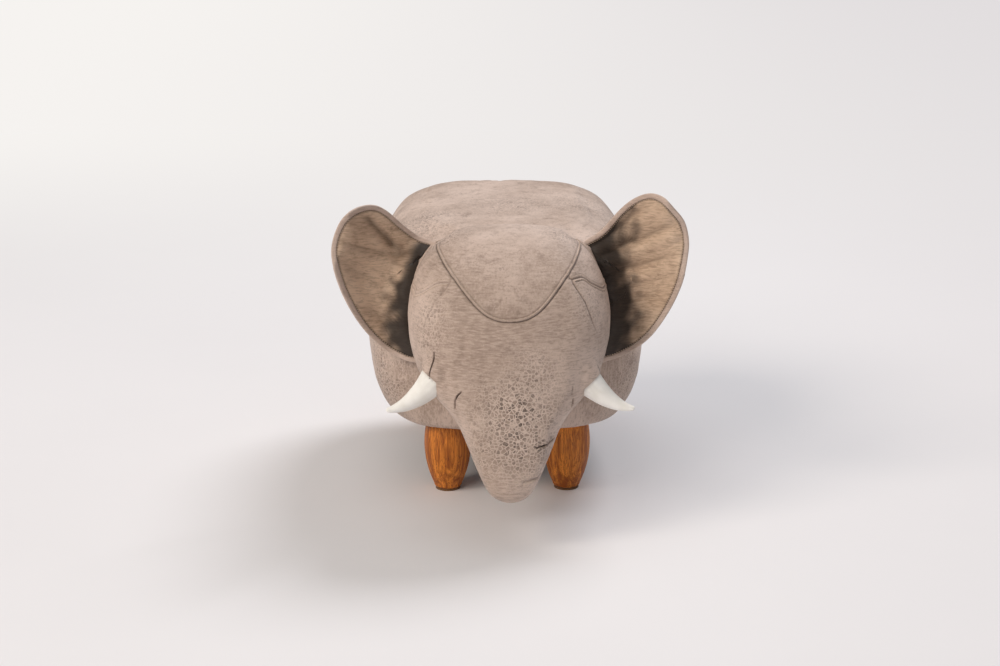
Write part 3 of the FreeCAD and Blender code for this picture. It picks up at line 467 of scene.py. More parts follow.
def white_cloth(name):
    """Close white cloth with a faint weave, greyed with painted shade along its seam and at its gathered,
    sewn-on end.
    """
    paint = Finish(name)
    place = paint.place()
    weave = paint.math(
        "MULTIPLY",
        paint.add("ShaderNodeTexWave", "Fac", {"bands_direction": "X"}, Vector=place, Scale=900.0,
                  Distortion=0.4, Detail=1.0),
        paint.add("ShaderNodeTexWave", "Fac", {"bands_direction": "Z"}, Vector=place, Scale=900.0,
                  Distortion=0.4, Detail=1.0),
    )
    soft = paint.noise(place, 60.0, 4.0)
    colour = paint.blend(paint.ramp(soft, 0.3, 0.7), tone(242, 239, 232), tone(252, 250, 245))
    # Painted shade greys the seam and the sewn-on end
    colour = paint.blend(paint.math("MULTIPLY", paint.share("painted_shade"), 0.4), colour, tone(170, 160, 150))
    height = paint.math("ADD", paint.math("MULTIPLY", weave, 0.3), soft)
    return paint.done(Base_Color=colour, Roughness=0.72, Normal=paint.bump(height, 0.0006, 0.4),
                      Specular_IOR_Level=0.3, Sheen_Weight=0.15)


def thread(name, light, dark):
    """Twisted sewing thread."""
    paint = Finish(name)
    place = paint.place()
    twist = paint.noise(place, 2200.0, 2.0)
    return paint.done(Base_Color=paint.blend(paint.ramp(twist, 0.35, 0.65), dark, light),
                      Roughness=0.7, Normal=paint.bump(twist, 0.0002, 0.6))


HIDE = leather("hide_leather", tone(209, 188, 175), tone(173, 152, 138), tone(114, 95, 83),
               tone(52, 39, 31))
LINING = leather("lining_leather", tone(222, 195, 170), tone(188, 161, 137), tone(122, 98, 80),
                 tone(22, 16, 15), 0.5)
THREAD = thread("brown_thread", tone(210, 188, 166), tone(164, 142, 122))
TUSK_CLOTH = white_cloth("tusk_cloth_white")
TURNED_WOOD = stained_wood("stained_oak", tone(236, 146, 52), tone(146, 74, 14))
PLYWOOD = raw_wood("raw_plywood", tone(214, 188, 146), tone(176, 144, 102), True)
SOFTWOOD = raw_wood("raw_softwood", tone(222, 196, 150), tone(192, 158, 110), False)
ZINC = zinc("zinc_plated_steel")
FELT = pressed_fibre("brown_felt", tone(128, 94, 62), tone(96, 68, 44), 500.0)
DUST_CLOTH = pressed_fibre("black_dust_cloth", tone(46, 46, 48), tone(24, 24, 26), 260.0)

NODE_FINISHES = {
    "base_board": PLYWOOD, "left_panel": PLYWOOD, "right_panel": PLYWOOD, "front_panel": PLYWOOD,
    "rear_panel": PLYWOOD, "seat_board": PLYWOOD,
    "front_left_batten": SOFTWOOD, "front_right_batten": SOFTWOOD,
    "rear_left_batten": SOFTWOOD, "rear_right_batten": SOFTWOOD,
    "frame_screws": ZINC, "foot_bolts": ZINC, "t_nuts": ZINC, "dust_cover_staples": ZINC,
    "front_left_foot": TURNED_WOOD, "front_right_foot": TURNED_WOOD,
    "rear_left_foot": TURNED_WOOD, "rear_right_foot": TURNED_WOOD,
    "foot_pads": FELT, "dust_cover": DUST_CLOTH,
}


def dress_nodes():
    """Gives each CAD node that stays in sight its finish."""
    for name, material in NODE_FINISHES.items():
        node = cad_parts[name]
        node.data.materials.clear()
        node.data.materials.append(material)
        if name.endswith("_foot"):
            active(node)
            bpy.ops.object.shade_smooth_by_angle(angle=math.radians(30))


def finished(thing, material, body=None, replaced=()):
    """Gives a piece its finish and ties it to the frame."""
    mesh = thing.data
    if "rest_place" not in mesh.attributes:
        rest = mesh.attributes.new("rest_place", "FLOAT_VECTOR", "POINT")
        rest.data.foreach_set("vector", places(mesh).astype(np.float32).ravel())
    for name in ("crackle", "painted_shade", "upright", "band"):
        if name not in mesh.attributes:
            mesh.attributes.new(name, "FLOAT", "POINT")
    mesh.materials.clear()
    mesh.materials.append(material)
    for polygon in mesh.polygons:
        polygon.material_index = 0
    if body:
        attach(thing, body)
    if replaced:
        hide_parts(*replaced)
    return thing


# The leather skin of the body, head and trunk


def ease(bm, vertices, rounds):
    """Evens out these vertices among their neighbours."""
    for _ in range(rounds):
        bmesh.ops.smooth_vert(bm, verts=list(vertices), factor=0.5, use_axis_x=True,
                              use_axis_y=True, use_axis_z=True)


def largest_island(bm):
    """Deletes all but the largest connected part of a mesh."""
    left = set(bm.verts)
    islands = []
    for start in bm.verts:
        if start not in left:
            continue
        left.remove(start)
        island = {start}
        front = [start]
        while front:
            vertex = front.pop()
            for edge in vertex.link_edges:
                other = edge.other_vert(vertex)
                if other in left:
                    left.remove(other)
                    island.add(other)
                    front.append(other)
        islands.append(island)
    islands.sort(key=len)
    for island in islands[:-1]:
        bmesh.ops.delete(bm, geom=list(island), context="VERTS")


# The stuffing that fills each ear's root channel: a rod along this line, a little past its
# ends, and how far around it and how long the skin is evened out
EAR_ROOT_LINE_MM = ((120, -128, 212), (100, -102, 326))
EAR_ROOT_RADIUS = 0.0065
EAR_ROOT_BEYOND = 0.002
EAR_ROOT_EASE_REACH = 0.020
EAR_ROOT_EASE_ROUNDS = 45
EAR_ROOT_EASE_ENDS = (-0.15, 1.15)
# The skin is held to the boards over this much of the underside
HELD_RISE = 0.004
HELD_MIDDLE = 0.066
HELD_HALF_LENGTH = 0.2


def stuffed_form():
    """The whole padded form in one closed skin, at rest and without seams."""
    covers = [node for nodes in PANELS.values() for node in nodes]
    form = welded_copy("form", covers + list(BOARDS))
    plugs = []
    for sign in (-1, 1):
        low, high = (mm(sign * x, y, z) for x, y, z in EAR_ROOT_LINE_MM)
        way = (high - low).normalized()
        low, high = low - way * EAR_ROOT_BEYOND, high + way * EAR_ROOT_BEYOND
        bpy.ops.object.select_all(action="DESELECT")
        bpy.ops.mesh.primitive_cylinder_add(
            radius=EAR_ROOT_RADIUS, depth=(high - low).length, location=(low + high) / 2,
            rotation=way.to_track_quat("Z", "Y").to_euler())
        plugs.append(bpy.context.object)
    active(form)
    for plug in plugs:
        plug.select_set(True)
    bpy.ops.object.join()
    modified(form, "REMESH", mode="VOXEL", voxel_size=SKIN_VOXEL)
    bm = bmesh.new()
    bm.from_mesh(form.data)
    largest_island(bm)
    ease(bm, bm.verts, SKIN_EASE_ROUNDS)
    before, after = EAR_ROOT_EASE_ENDS
    near_roots = set()
    for sign in (-1, 1):
        low, high = (mm(sign * x, y, z) for x, y, z in EAR_ROOT_LINE_MM)
        way = high - low
        for vertex in bm.verts:
            share = min(after, max(before, (vertex.co - low).dot(way) / way.length_squared))
            if (vertex.co - low - way * share).length < EAR_ROOT_EASE_REACH:
                near_roots.add(vertex)
    ease(bm, near_roots, EAR_ROOT_EASE_ROUNDS)
    bm.to_mesh(form.data)
    bm.free()
    return form


def swollen(form):
    """Lets the stuffing press the skin out a little, held along the underside."""
    before = places(form.data)
    group = form.vertex_groups.new(name="held")
    low = before[:, 2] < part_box("dust_cover")[1].z + HELD_RISE
    under = np.nonzero(low & (np.abs(before[:, 1] - HELD_MIDDLE) < HELD_HALF_LENGTH))[0]
    group.add(under.tolist(), 1.0, "REPLACE")
    modifier = form.modifiers.new("cloth", "CLOTH")
    modifier.settings.use_pressure = True
    modifier.settings.uniform_pressure_force = CLOTH_PRESSURE
    modifier.settings.effector_weights.gravity = 0
    modifier.settings.vertex_group_mass = "held"
    modifier.settings.quality = 4
    modifier.collision_settings.use_collision = False
    scene = bpy.context.scene
    for step in range(1, CLOTH_FRAMES + 1):
        scene.frame_set(step)
    depsgraph = bpy.context.evaluated_depsgraph_get()
    after = places(form.evaluated_get(depsgraph).data)
    form.modifiers.remove(modifier)
    scene.frame_set(1)
    normals = np.empty(before.size)
    form.data.vertex_normals.foreach_get("vector", normals)
    normals = normals.reshape(-1, 3)
    outward = np.clip(np.einsum("ij,ij->i", after - before, normals), 0, CLOTH_CAP)
    set_places(form.data, before + normals * outward[:, None])
    form.vertex_groups.clear()
    return form


def line_points(line, spacing=0.5):
    """Points along a line given in millimetres, with how far along each lies."""
    corners = [Vector(corner) for corner in line]
    total = sum((b - a).length for a, b in zip(corners, corners[1:]))
    points, shares = [], []
    gone = 0.0
    for first, second in zip(corners, corners[1:]):
        length = (second - first).length
        steps = max(1, int(length / spacing))
        for step in range(steps):
            points.append(first.lerp(second, step / steps) * MM)
            shares.append((gone + length * step / steps) / total)
        gone += length
    return points, shares


class Skin:
    """The skin as one mesh whose faces know their panel."""

    def __init__(self, form):
        """Takes over the form's mesh and reads the cover that lies nearest to each face."""
        self.names = list(PANELS) + [OPEN]
        self.bm = bmesh.new()
        self.bm.from_mesh(form.data)
        bpy.data.objects.remove(form)
        self.panel = self.bm.faces.layers.int.new("panel")
        self.owners = []
        triangles, corners = [], []
        for index, name in enumerate(self.names):
            nodes = OPEN_NODES if name == OPEN else PANELS[name][:1]
            for node in nodes:
                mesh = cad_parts[node].data
                first = len(corners)
                corners.extend(vertex.co.copy() for vertex in mesh.vertices)
                for polygon in mesh.polygons:
                    triangles.append([first + corner for corner in polygon.vertices])
                    self.owners.append(index)
        self.tree = BVHTree.FromPolygons(corners, triangles)
        self.guides = []
        for beyond, before, way, line in HEAD_SEAMS_MM:
            points = line_points(line)[0]
            self.guides.append((beyond, before, Vector(way), tree_of(points), len(points) - 1))
        self.mark()

    def mark(self):
        """Gives each face to the panel of the cover that lies nearest, or, by one of the
        head's seams, to the panel on its side of that seam."""
        for face in self.bm.faces:
            centre = face.calc_center_median()
            owner = self.owners[self.tree.find_nearest(centre)[2]]
            for beyond, before, way, tree, last in self.guides:
                if self.names[owner] in (beyond, before):
                    place, index, away = tree.find(centre)
                    if away < HEAD_SEAM_REACH and index < last:
                        side = beyond if (centre - place).dot(way) > 0 else before
                        owner = self.names.index(side)
            face[self.panel] = owner

    def settle(self):
        """Gives small stray patches, and faces that stick out, to the panel round them."""
        left = set(self.bm.faces)
        for start in self.bm.faces:
            if start not in left:
                continue
            left.remove(start)
            patch, front, around = [start], [start], []
            while front:
                face = front.pop()
                for edge in face.edges:
                    for other in edge.link_faces:
                        if other[self.panel] != start[self.panel]:
                            around.append(other[self.panel])
                        elif other in left:
                            left.remove(other)
                            patch.append(other)
                            front.append(other)
            if len(patch) < SMALL_PATCH and around:
                panel = max(set(around), key=around.count)
                for face in patch:
                    face[self.panel] = panel
        for _ in range(SETTLE_ROUNDS):
            changed = {}
            for edge in self.borders():
                for face in edge.link_faces:
                    around = [other[self.panel] for side in face.edges for other in side.link_faces
                              if other is not face]
                    panel = max(set(around), key=around.count)
                    if panel != face[self.panel] and around.count(panel) * 2 > len(around):
                        changed[face] = panel
            for face, panel in changed.items():
                face[self.panel] = panel

    def borders(self):
        """The edges between two panels."""
        return [edge for edge in self.bm.edges
                if len(edge.link_faces) == 2
                and edge.link_faces[0][self.panel] != edge.link_faces[1][self.panel]]

    def refine(self, points, reach, rounds=2):
        """Halves the edges within reach of the points and evens out the new corners."""
        tree = tree_of(points)
        close = {vertex for vertex in self.bm.verts if tree.find(vertex.co)[2] < reach}
        edges = [edge for edge in self.bm.edges if edge.verts[0] in close and edge.verts[1] in close]
        made = bmesh.ops.subdivide_edges(self.bm, edges=edges, cuts=1, use_grid_fill=True)
        fresh = {item for item in made["geom_inner"] if isinstance(item, bmesh.types.BMVert)}
        ease(self.bm, fresh | {vertex for vertex in close if vertex.is_valid}, rounds)

    def even_borders(self):
        """Draws each border between two panels into a smooth line."""
        self.bm.normal_update()
        surface = BVHTree.FromBMesh(self.bm)
        borders = self.borders()
        beside = {}
        for edge in borders:
            for vertex in edge.verts:
                beside.setdefault(vertex, []).append(edge.other_vert(vertex))
        for _ in range(BORDER_ROUNDS):
            moved = {}
            for vertex, others in beside.items():
                if len(others) == 2:
                    moved[vertex] = vertex.co * 0.4 + (others[0].co + others[1].co) * 0.3
            for vertex, place in moved.items():
                vertex.co = place
        for vertex in beside:
            vertex.co = surface.find_nearest(vertex.co)[0]
        ring = {other for vertex in beside for edge in vertex.link_edges
                for other in edge.verts if other not in beside}
        wide = ring | {other for vertex in ring for edge in vertex.link_edges
                       for other in edge.verts if other not in beside}
        ease(self.bm, wide, BESIDE_ROUNDS)
        for vertex in wide:
            vertex.co = surface.find_nearest(vertex.co)[0]
        self.bm.normal_update()

    def border_points(self, spacing=0.0005):
        """Points along each border with the two panels that meet there."""
        points, pairs = [], []
        for edge in self.borders():
            pair = tuple(sorted(self.names[face[self.panel]] for face in edge.link_faces))
            first, second = edge.verts[0].co, edge.verts[1].co
            steps = max(1, int((second - first).length / spacing))
            for step in range(steps + 1):
                points.append(first.lerp(second, step / steps))
                pairs.append(pair)
        return points, pairs


def seam_style(pair):
    """How deep and wide the seam between two panels is, and how much painted shade darkens it."""
    names = set(pair)
    if OPEN in names:
        return NO_SEAM
    on_body = names & set(BODY_PANELS)
    if len(on_body) == 2:
        return PLAIN_SEAM
    if "seat" in names:
        return TONGUE_SEAM
    if on_body:
        return NECK_CREASE
    if "trunk_under" in names:
        return THROAT_SEAM
    return FAINT_SEAM if any(name.startswith("right") for name in names) else FACE_SEAM


# How much of the cheeks' front seams is left low down, and the heights between which they fade
FADED_SEAM = 0.2
FADED_BELOW, CLEAR_ABOVE = 0.252, 0.285


def seam_fade(pair, spot):
    """The cheeks' front seams sink into the stuffing further down."""
    if "face" in pair and ("left_cheek" in pair or "right_cheek" in pair):
        clear = float(smoothstep(FADED_BELOW, CLEAR_ABOVE, spot.z))
        return FADED_SEAM + (1 - FADED_SEAM) * clear
    return 1.0


# Tucks and creases of the face and trunk: their lines, then depth, width and how much painted shade darkens
# them.
# Each draws in over its width, swells a little at twice that, and reaches four times it.
TUCK_SPREAD = 4
TUCK_SWELL = 0.22
TUCK_SWELL_AT, TUCK_SWELL_WIDTH = 2.1, 0.8
TUCK_SHADE_WIDTH = 0.95
TUCK_SIDEWAYS = 0.05
HEAD_FRONT = -0.17
TUCKS_MM = (
    (((-94, -249, 240), (-94.3, -251, 228), (-94.2, -250.7, 214)), 3.4, 1.0, 1.0),
    (((-93, -252, 214), (-87, -257.6, 203)), 0.9, 2.4, 0.1),
    (((-86, -257, 216), (-80, -262, 205)), 0.8, 2.4, 0.1),
    (((-60, -274, 197), (-65, -273.5, 192), (-68.5, -272.5, 185), (-69.4, -271.6, 175)),
     3.2, 0.9, 1.0),
    (((104, -237, 222), (104.5, -236, 214), (104, -233, 206)), 3.6, 1.3, 1.0),
    (((75.4, -267, 201), (75.6, -267.7, 191)), 1.4, 1.2, 0.4),
    (((77, -266, 184), (75.9, -265.4, 178), (74.5, -264, 174)), 3.6, 1.1, 1.0),
    (((30, -297, 133), (42, -290, 136), (54, -278, 139)), 3.6, 1.0, 1.0),
    (((13.7, -307, 93), (24, -303, 96), (36, -294, 100)), 1.8, 1.8, 0.35),
    (((28, -300, 90), (36, -293, 94)), 1.2, 1.8, 0.25),
    (((44, -288, 120), (54, -274, 118)), 1.0, 2.0, 0.2),
    (((88, -258, 196), (70, -270, 190)), 0.8, 2.6, 0.1),
)
# Where the leather is most crackled: centre, radius and strength
CRACKLED_MM = (
    ((8, -292, 172), 46, 1.0),
    ((14, -300, 140), 40, 1.0),
    ((-18, -292, 128), 30, 0.7),
    ((26, -270, 212), 34, 0.6),
    ((-80, -128, 352), 30, 0.7),
    ((72, -128, 356), 34, 0.6),
    ((10, 40, 358), 60, 0.5),
    ((-110, -20, 345), 50, 0.7),
    ((105, 60, 350), 60, 0.5),
    ((-110, -235, 270), 40, 0.5),
    ((-150, -60, 150), 60, 0.8),
    ((150, -60, 150), 60, 0.5),
    ((90, -215, 290), 36, 0.4),
    ((0, 280, 220), 80, 0.6),
    ((-187, 120, 220), 80, 0.5),
    ((187, 100, 200), 80, 0.5),
)


def crackle_shares(spots):
    """How crackled the leather is at each of these places."""
    found = np.zeros(len(spots))
    for centre, radius, strength in CRACKLED_MM:
        away = np.linalg.norm(spots - np.array(centre) * MM, axis=1) / (radius * MM)
        found = np.maximum(found, strength * np.exp(-away * away))
    return found


# How far the trunk leans and how much its tip is plumped, and the heights between which
TRUNK_LEAN = -0.0010
TRUNK_PLUMP = 0.02
TRUNK_TOP, TRUNK_LEANT = 0.2, 0.12
TRUNK_TIP_TOP, TRUNK_TIP = 0.13, 0.08
# Lumps of the stuffing: how close together and how high
LUMPS = ((17.0, 0.0011), (44.0, 0.0004))


def lean_trunk(bm):
    """Leans the trunk to its own left and plumps its tip, as it is stuffed."""
    for vertex in bm.verts:
        x, y, z = vertex.co
        if y > HEAD_FRONT or z > TRUNK_TOP:
            continue
        share = float(smoothstep(TRUNK_TOP, TRUNK_LEANT, z)) if z > TRUNK_LEANT else 1.0
        tip = float(smoothstep(TRUNK_TIP_TOP, TRUNK_TIP, z)) * TRUNK_PLUMP
        vertex.co.x = x * (1 + tip) + TRUNK_LEAN * share


# The tusks: a root's centre and the reach to the tip for the left one, the radius at each
# end, and the share of the length at which each comes out of the face
TUSK_ROOT_MM = (80.0, -231.0, 218.0)
TUSK_REACH_MM = (72.7, -20.0, -50.7)
TUSK_RADII_MM = (22.0, 2.6)
TUSK_STARTS = {"left": 0.25, "right": 0.19}
TUSK_SEAT_WAY = 0.010
TUSK_SEAT_REACH = 0.03
TUSK_SEAT_LAP = 0.0005
# The spots around a tusk's seat where the skin is made finer: sizes, turns and depths
TUSK_RING_SIZES = (0.3, 0.75, 1.1)
TUSK_RING_ROUND = 32
TUSK_RING_BACK = (0.0, 0.008, 0.016)
TUSK_STEPS = 40
TUSK_ROUND = 64
# The tusk's ends, as a shift along it and a size: tucked into the face, and round at the tip
TUSK_TUCKED = ((-0.03, 0.0), (-0.03, 0.55), (-0.022, 0.85), (-0.008, 0.97))
TUSK_TIP = ((0.985, 0.92), (0.995, 0.72), (1.0, 0.4), (1.0, 0.0))
TUSK_BODY_END = 0.98
TUSK_SPREAD = 1.15
TUSK_GATHERS = 17
TUSK_GATHER_DEPTH = 0.035
TUSK_GATHER_REACH = 0.07
TUSK_SEAM_DEPTH = 0.05
TUSK_SEAM_WIDTH = 0.9
TUSK_SWELL = 0.03


def tusk_section(side, share):
    """The centre, way and radius of a tusk at a share of its length."""
    sign = 1 if side == "left" else -1
    x, y, z = TUSK_ROOT_MM
    out, ahead, down = TUSK_REACH_MM
    centre = mm(sign * (x + share * out), y + share * ahead, z + down * share * (2 - share))
    way = Vector((sign * out, ahead, 2 * down * (1 - share))).normalized()
    first, last = TUSK_RADII_MM
    return centre, way, (first + (last - first) * share) * MM


def tusk_ring(side):
    """Points over the round place where a tusk is sewn to the face."""
    centre, way, radius = tusk_section(side, TUSK_STARTS[side])
    across = way.cross(Vector((0, 0, 1))).normalized()
    up = across.cross(way)
    points = []
    for size in TUSK_RING_SIZES:
        for turn in range(TUSK_RING_ROUND):
            angle = turn / TUSK_RING_ROUND * math.tau
            for back in TUSK_RING_BACK:
                points.append(centre - way * back
                              + (across * math.cos(angle) + up * math.sin(angle)) * radius * size)
    return points


def seat_tusk(bm, side):
    """Draws the face's skin out to meet the sewn end of a tusk."""
    centre, way, radius = tusk_section(side, TUSK_STARTS[side])
    for vertex in bm.verts:
        offset = vertex.co - centre
        height = offset.dot(way)
        away = (offset - way * height).length
        if -TUSK_SEAT_REACH < height < 0.0 and away < radius + TUSK_SEAT_WAY:
            share = float(smoothstep(radius + TUSK_SEAT_WAY, radius - TUSK_SEAT_LAP, away))
            vertex.co -= way * height * share


def refined_skin():
    """The stuffed skin, its mesh made finer along the seams, tucks and tusks. Also gives the
    tucks' lines as they lie on it."""
    skin = Skin(swollen(stuffed_form()))
    lean_trunk(skin.bm)
    lines = [line_points(tuck[0]) for tuck in TUCKS_MM]
    tuck_points = [point for points, _ in lines for point in points]
    roots = [point for side in TUSK_STARTS for point in tusk_ring(side)]
    for reach in (FINER_REACH, FINEST_REACH):
        corners = [vertex.co.copy() for edge in skin.borders() for vertex in edge.verts]
        skin.refine(corners + tuck_points + roots, reach)
        skin.mark()
    skin.refine(tuck_points, TUCK_REACH, 1)
    skin.mark()
    skin.settle()
    skin.even_borders()
    surface = BVHTree.FromBMesh(skin.bm)
    lines = [([surface.find_nearest(point)[0] for point in points], shares)
             for points, shares in lines]
    return skin, lines


def seam_draws(skin):
    """How far the seams and lumps draw each corner of the skin in; also paints shade into the seams and
    their stitch grooves and a highlight onto their raised bands.
    """
    points, pairs = skin.border_points()
    seams = tree_of(points)
    styles = {pair: seam_style(pair) for pair in set(pairs)}
    painted_shade = skin.bm.verts.layers.float.new("painted_shade")
    band = skin.bm.verts.layers.float.new("band")
    draws = []
    for vertex in skin.bm.verts:
        _, index, away = seams.find(vertex.co)
        pair = pairs[index]
        deep, wide, dark = styles[pair]
        fade = seam_fade(pair, vertex.co)
        draw = deep * fade * bell(away, wide)
        # Painted shade along the seam
        vertex[painted_shade] = dark * fade * bell(away, SEAM_SHADE_WIDTH * wide)
        if stitched(skin, pair, vertex) and away < STITCHED_REACH:
            raised = bell(away - BAND_INSET, BAND_WIDTH)
            sewn = bell(away - STITCH_INSET, STITCH_WIDTH)
            draw += fade * dark * (STITCH_DEPTH * sewn - BAND_RISE * raised)
            # Painted highlight on the raised band and painted shade in the sewn groove
            vertex[band] = fade * raised
            vertex[painted_shade] = max(vertex[painted_shade], STITCH_SHADE * fade * dark * sewn)
        for scale, height in LUMPS:
            draw += height * noise.noise(vertex.co * scale)
        draws.append(draw)
    return draws


def add_tucks(skin, lines, draws):
    """Adds the tucks and creases to the draws and paints shade into them."""
    painted_shade = skin.bm.verts.layers.float["painted_shade"]
    for (_, deep, wide, dark), (line_places, shares) in zip(TUCKS_MM, lines):
        tree = tree_of(line_places)
        for number, vertex in enumerate(skin.bm.verts):
            if abs(vertex.co.x - line_places[0].x) > TUCK_SIDEWAYS or vertex.co.y > HEAD_FRONT:
                continue
            _, index, away = tree.find(vertex.co)
            widths = away / (wide * MM)
            if widths > TUCK_SPREAD:
                continue
            fade = math.sin(math.pi * min(1.0, 0.12 + 0.8 * shares[index])) ** 0.6
            swell = bell(widths - TUCK_SWELL_AT, TUCK_SWELL_WIDTH)
            draws[number] += deep * MM * fade * (bell(widths, 1) - TUCK_SWELL * swell)
            # Painted shade in the tuck's hollow
            shown = dark * fade * math.exp(-((widths / TUCK_SHADE_WIDTH) ** 4))
            vertex[painted_shade] = max(vertex[painted_shade], shown)


def make_skin():
    """The whole skin with its seams, tucks and tusk seats."""
    skin, lines = refined_skin()
    bm = skin.bm
    draws = seam_draws(skin)
    add_tucks(skin, lines, draws)
    bm.normal_update()
    normals = [vertex.normal.copy() for vertex in bm.verts]
    for vertex, draw, normal in zip(bm.verts, draws, normals):
        vertex.co -= normal * draw
    for side in TUSK_STARTS:
        seat_tusk(bm, side)
    bm.normal_update()
    whole_normal = bm.verts.layers.float_vector.new("whole_normal")
    for vertex in bm.verts:
        vertex[whole_normal] = vertex.normal
    return skin


def stitched(skin, pair, vertex):
    """Whether this vertex lies on the side of a seam that is sewn down beside it."""
    own = {skin.names[face[skin.panel]] for face in vertex.link_faces}
    if "seat" in pair and not (set(pair) - {"seat"}) & set(BODY_PANELS):
        return own == {"seat"}
    return set(pair) in ({"left_cheek", "left_temple"}, {"right_cheek", "right_temple"})


# How upright the fine creases of a panel run
UPRIGHT_GRAIN = {"seat": 0.5, "chest": 0.85, "rump": 0.85, "left_side": 0.85, "right_side": 0.85,
                 "face": 0.12}
HEAD_GRAIN = 0.3


def keep_normals(mesh, outer):
    """Shades a panel as part of the whole skin, so that no edge shows where two meet."""
    found = np.zeros(len(mesh.vertices) * 3, np.float32)
    mesh.attributes["whole_normal"].data.foreach_get("vector", found)
    found = found.reshape(-1, 3)
    loops = []
    for polygon in mesh.polygons:
        sides = {vertex < outer for vertex in polygon.vertices}
        for vertex in polygon.vertices:
            if len(sides) == 2:
                loops.append(tuple(polygon.normal))
            else:
                loops.append(tuple(found[vertex] if vertex < outer else -found[vertex]))
    mesh.attributes.remove(mesh.attributes["whole_normal"])
    mesh.normals_split_custom_set(loops)


def panel_pieces(skin):
    """Cuts the skin into its panels and gives each its thickness."""
    surface = BVHTree.FromBMesh(skin.bm)
    for index, name in enumerate(skin.names):
        if name == OPEN:
            continue
        part = skin.bm.copy()
        layer = part.faces.layers.int["panel"]
        others = [face for face in part.faces if face[layer] != index]
        bmesh.ops.delete(part, geom=others, context="FACES")
        thing = from_bmesh(f"{name}_leather", part)
        mesh = thing.data
        outer = len(mesh.vertices)
        give_share(mesh, "crackle", crackle_shares(places(mesh)))
        give_share(mesh, "upright", np.full(outer, UPRIGHT_GRAIN.get(name, HEAD_GRAIN)))
        modified(thing, "SOLIDIFY", thickness=SKIN_THICKNESS, offset=-1.0)
        smooth(thing)
        keep_normals(thing.data, outer)
        finished(thing, HIDE, "root", PANELS[name])
    return surface


# Stitches


STITCH_SIDES = 6
# A stitch's thickness at places along it
STITCH_FORM = ((-0.5, 0.35), (-0.28, 1.0), (0.28, 1.0), (0.5, 0.35))
HEAD_STITCHES = (0.0021, 0.00032, 0.0030)
EAR_STITCHES = (0.0019, 0.00058, 0.0032)


def stitch_mesh(name, runs, length, radius, pitch):
    """Rows of short stitches along runs of (place, normal) points."""
    bm = bmesh.new()
    for run in runs:
        gone = 0.0
        for (first, normal), (second, _) in zip(run, run[1:]):
            step = (second - first).length
            if step < 1e-9:
                continue
            while gone <= step:
                place = first.lerp(second, gone / step)
                way = (second - first) / step
                across = normal.cross(way).normalized()
                up = way.cross(across).normalized()
                rows = []
                for along, size in STITCH_FORM:
                    ring = []
                    for turn in range(STITCH_SIDES):
                        angle = turn / STITCH_SIDES * math.tau
                        lift = up * (math.sin(angle) * radius * size + radius * 0.5)
                        ring.append(bm.verts.new(place + way * along * length + lift
                                                 + across * math.cos(angle) * radius * size))
                    rows.append(ring)
                loft(bm, rows, capped=True)
                gone += pitch
            gone -= step
    bmesh.ops.recalc_face_normals(bm, faces=bm.faces)
    thing = from_bmesh(name, bm)
    smooth(thing)
    return finished(thing, THREAD)


# A row of stitches needs this many edges, and is evened out over so many to each side
SHORTEST_CHAIN = 4
EVEN_OVER = 4


def seam_runs(skin, pairs, side_panel, inset):
    """Runs of points beside the seams between pairs of panels, on one panel's side."""
    wanted = [edge for edge in skin.borders()
              if tuple(sorted(skin.names[face[skin.panel]] for face in edge.link_faces)) in pairs]
    surface = BVHTree.FromBMesh(skin.bm)
    links = {}
    for edge in wanted:
        for vertex in edge.verts:
            links.setdefault(vertex, []).append(edge)
    runs = []
    left = set(wanted)
    ends = [vertex for vertex, edges in links.items() if len(edges) == 1]
    for start in ends or list(links)[:1]:
        vertex = start
        chain = []
        while True:
            edge = next((edge for edge in links[vertex] if edge in left), None)
            if edge is None:
                break
            left.remove(edge)
            chain.append((edge, vertex))
            vertex = edge.other_vert(vertex)
        if len(chain) < SHORTEST_CHAIN:
            continue
        run = []
        for edge, vertex in chain:
            other = edge.other_vert(vertex)
            way = (other.co - vertex.co).normalized()
            face = next((face for face in edge.link_faces
                         if skin.names[face[skin.panel]] == side_panel), edge.link_faces[0])
            middle = (vertex.co + other.co) / 2
            normal = face.normal
            inward = normal.cross(way).normalized()
            if inward.dot(face.calc_center_median() - middle) < 0:
                inward = -inward
            run.append((middle, inward))
        eased = []
        for index, (middle, _) in enumerate(run):
            window = run[max(0, index - EVEN_OVER):index + EVEN_OVER + 1]
            inward = sum((item[1] for item in window), Vector()).normalized()
            centre = sum((item[0] for item in window), Vector()) / len(window)
            place, normal, _, _ = surface.find_nearest(centre + inward * inset)
            eased.append((place, normal))
        runs.append(eased)
    return runs


# The ears


def sight_shift(x, z, depth):
    """The place at this depth that hides (x, EAR_DEPTH, z) from the camera."""
    eye = Vector(EYE_MM) * MM
    share = (depth - eye.y) / (EAR_DEPTH - eye.y)
    return Vector((eye.x + (x - eye.x) * share, depth, eye.z + (z - eye.z) * share))


def smooth_loop(points, count):
    """Points evenly spaced along a closed smooth curve through these points."""
    knots = [Vector(point) for point in points]
    size = len(knots)
    dense = []
    for index in range(size):
        a, b, c, d = (knots[(index + shift) % size] for shift in (-1, 0, 1, 2))
        for step in range(12):
            t = step / 12
            dense.append(0.5 * ((2 * b) + (c - a) * t + (2 * a - 5 * b + 4 * c - d) * t * t
                                + (3 * b - a - 3 * c + d) * t ** 3))
    lengths = [0.0]
    for first, second in zip(dense, dense[1:] + dense[:1]):
        lengths.append(lengths[-1] + (second - first).length)
    out = []
    index = 0
    for step in range(count):
        target = lengths[-1] * step / count
        while lengths[index + 1] < target:
            index += 1
        share = (target - lengths[index]) / max(lengths[index + 1] - lengths[index], 1e-12)
        out.append(dense[index].lerp(dense[(index + 1) % len(dense)], share))
    return out


EAR_ROUND = 220
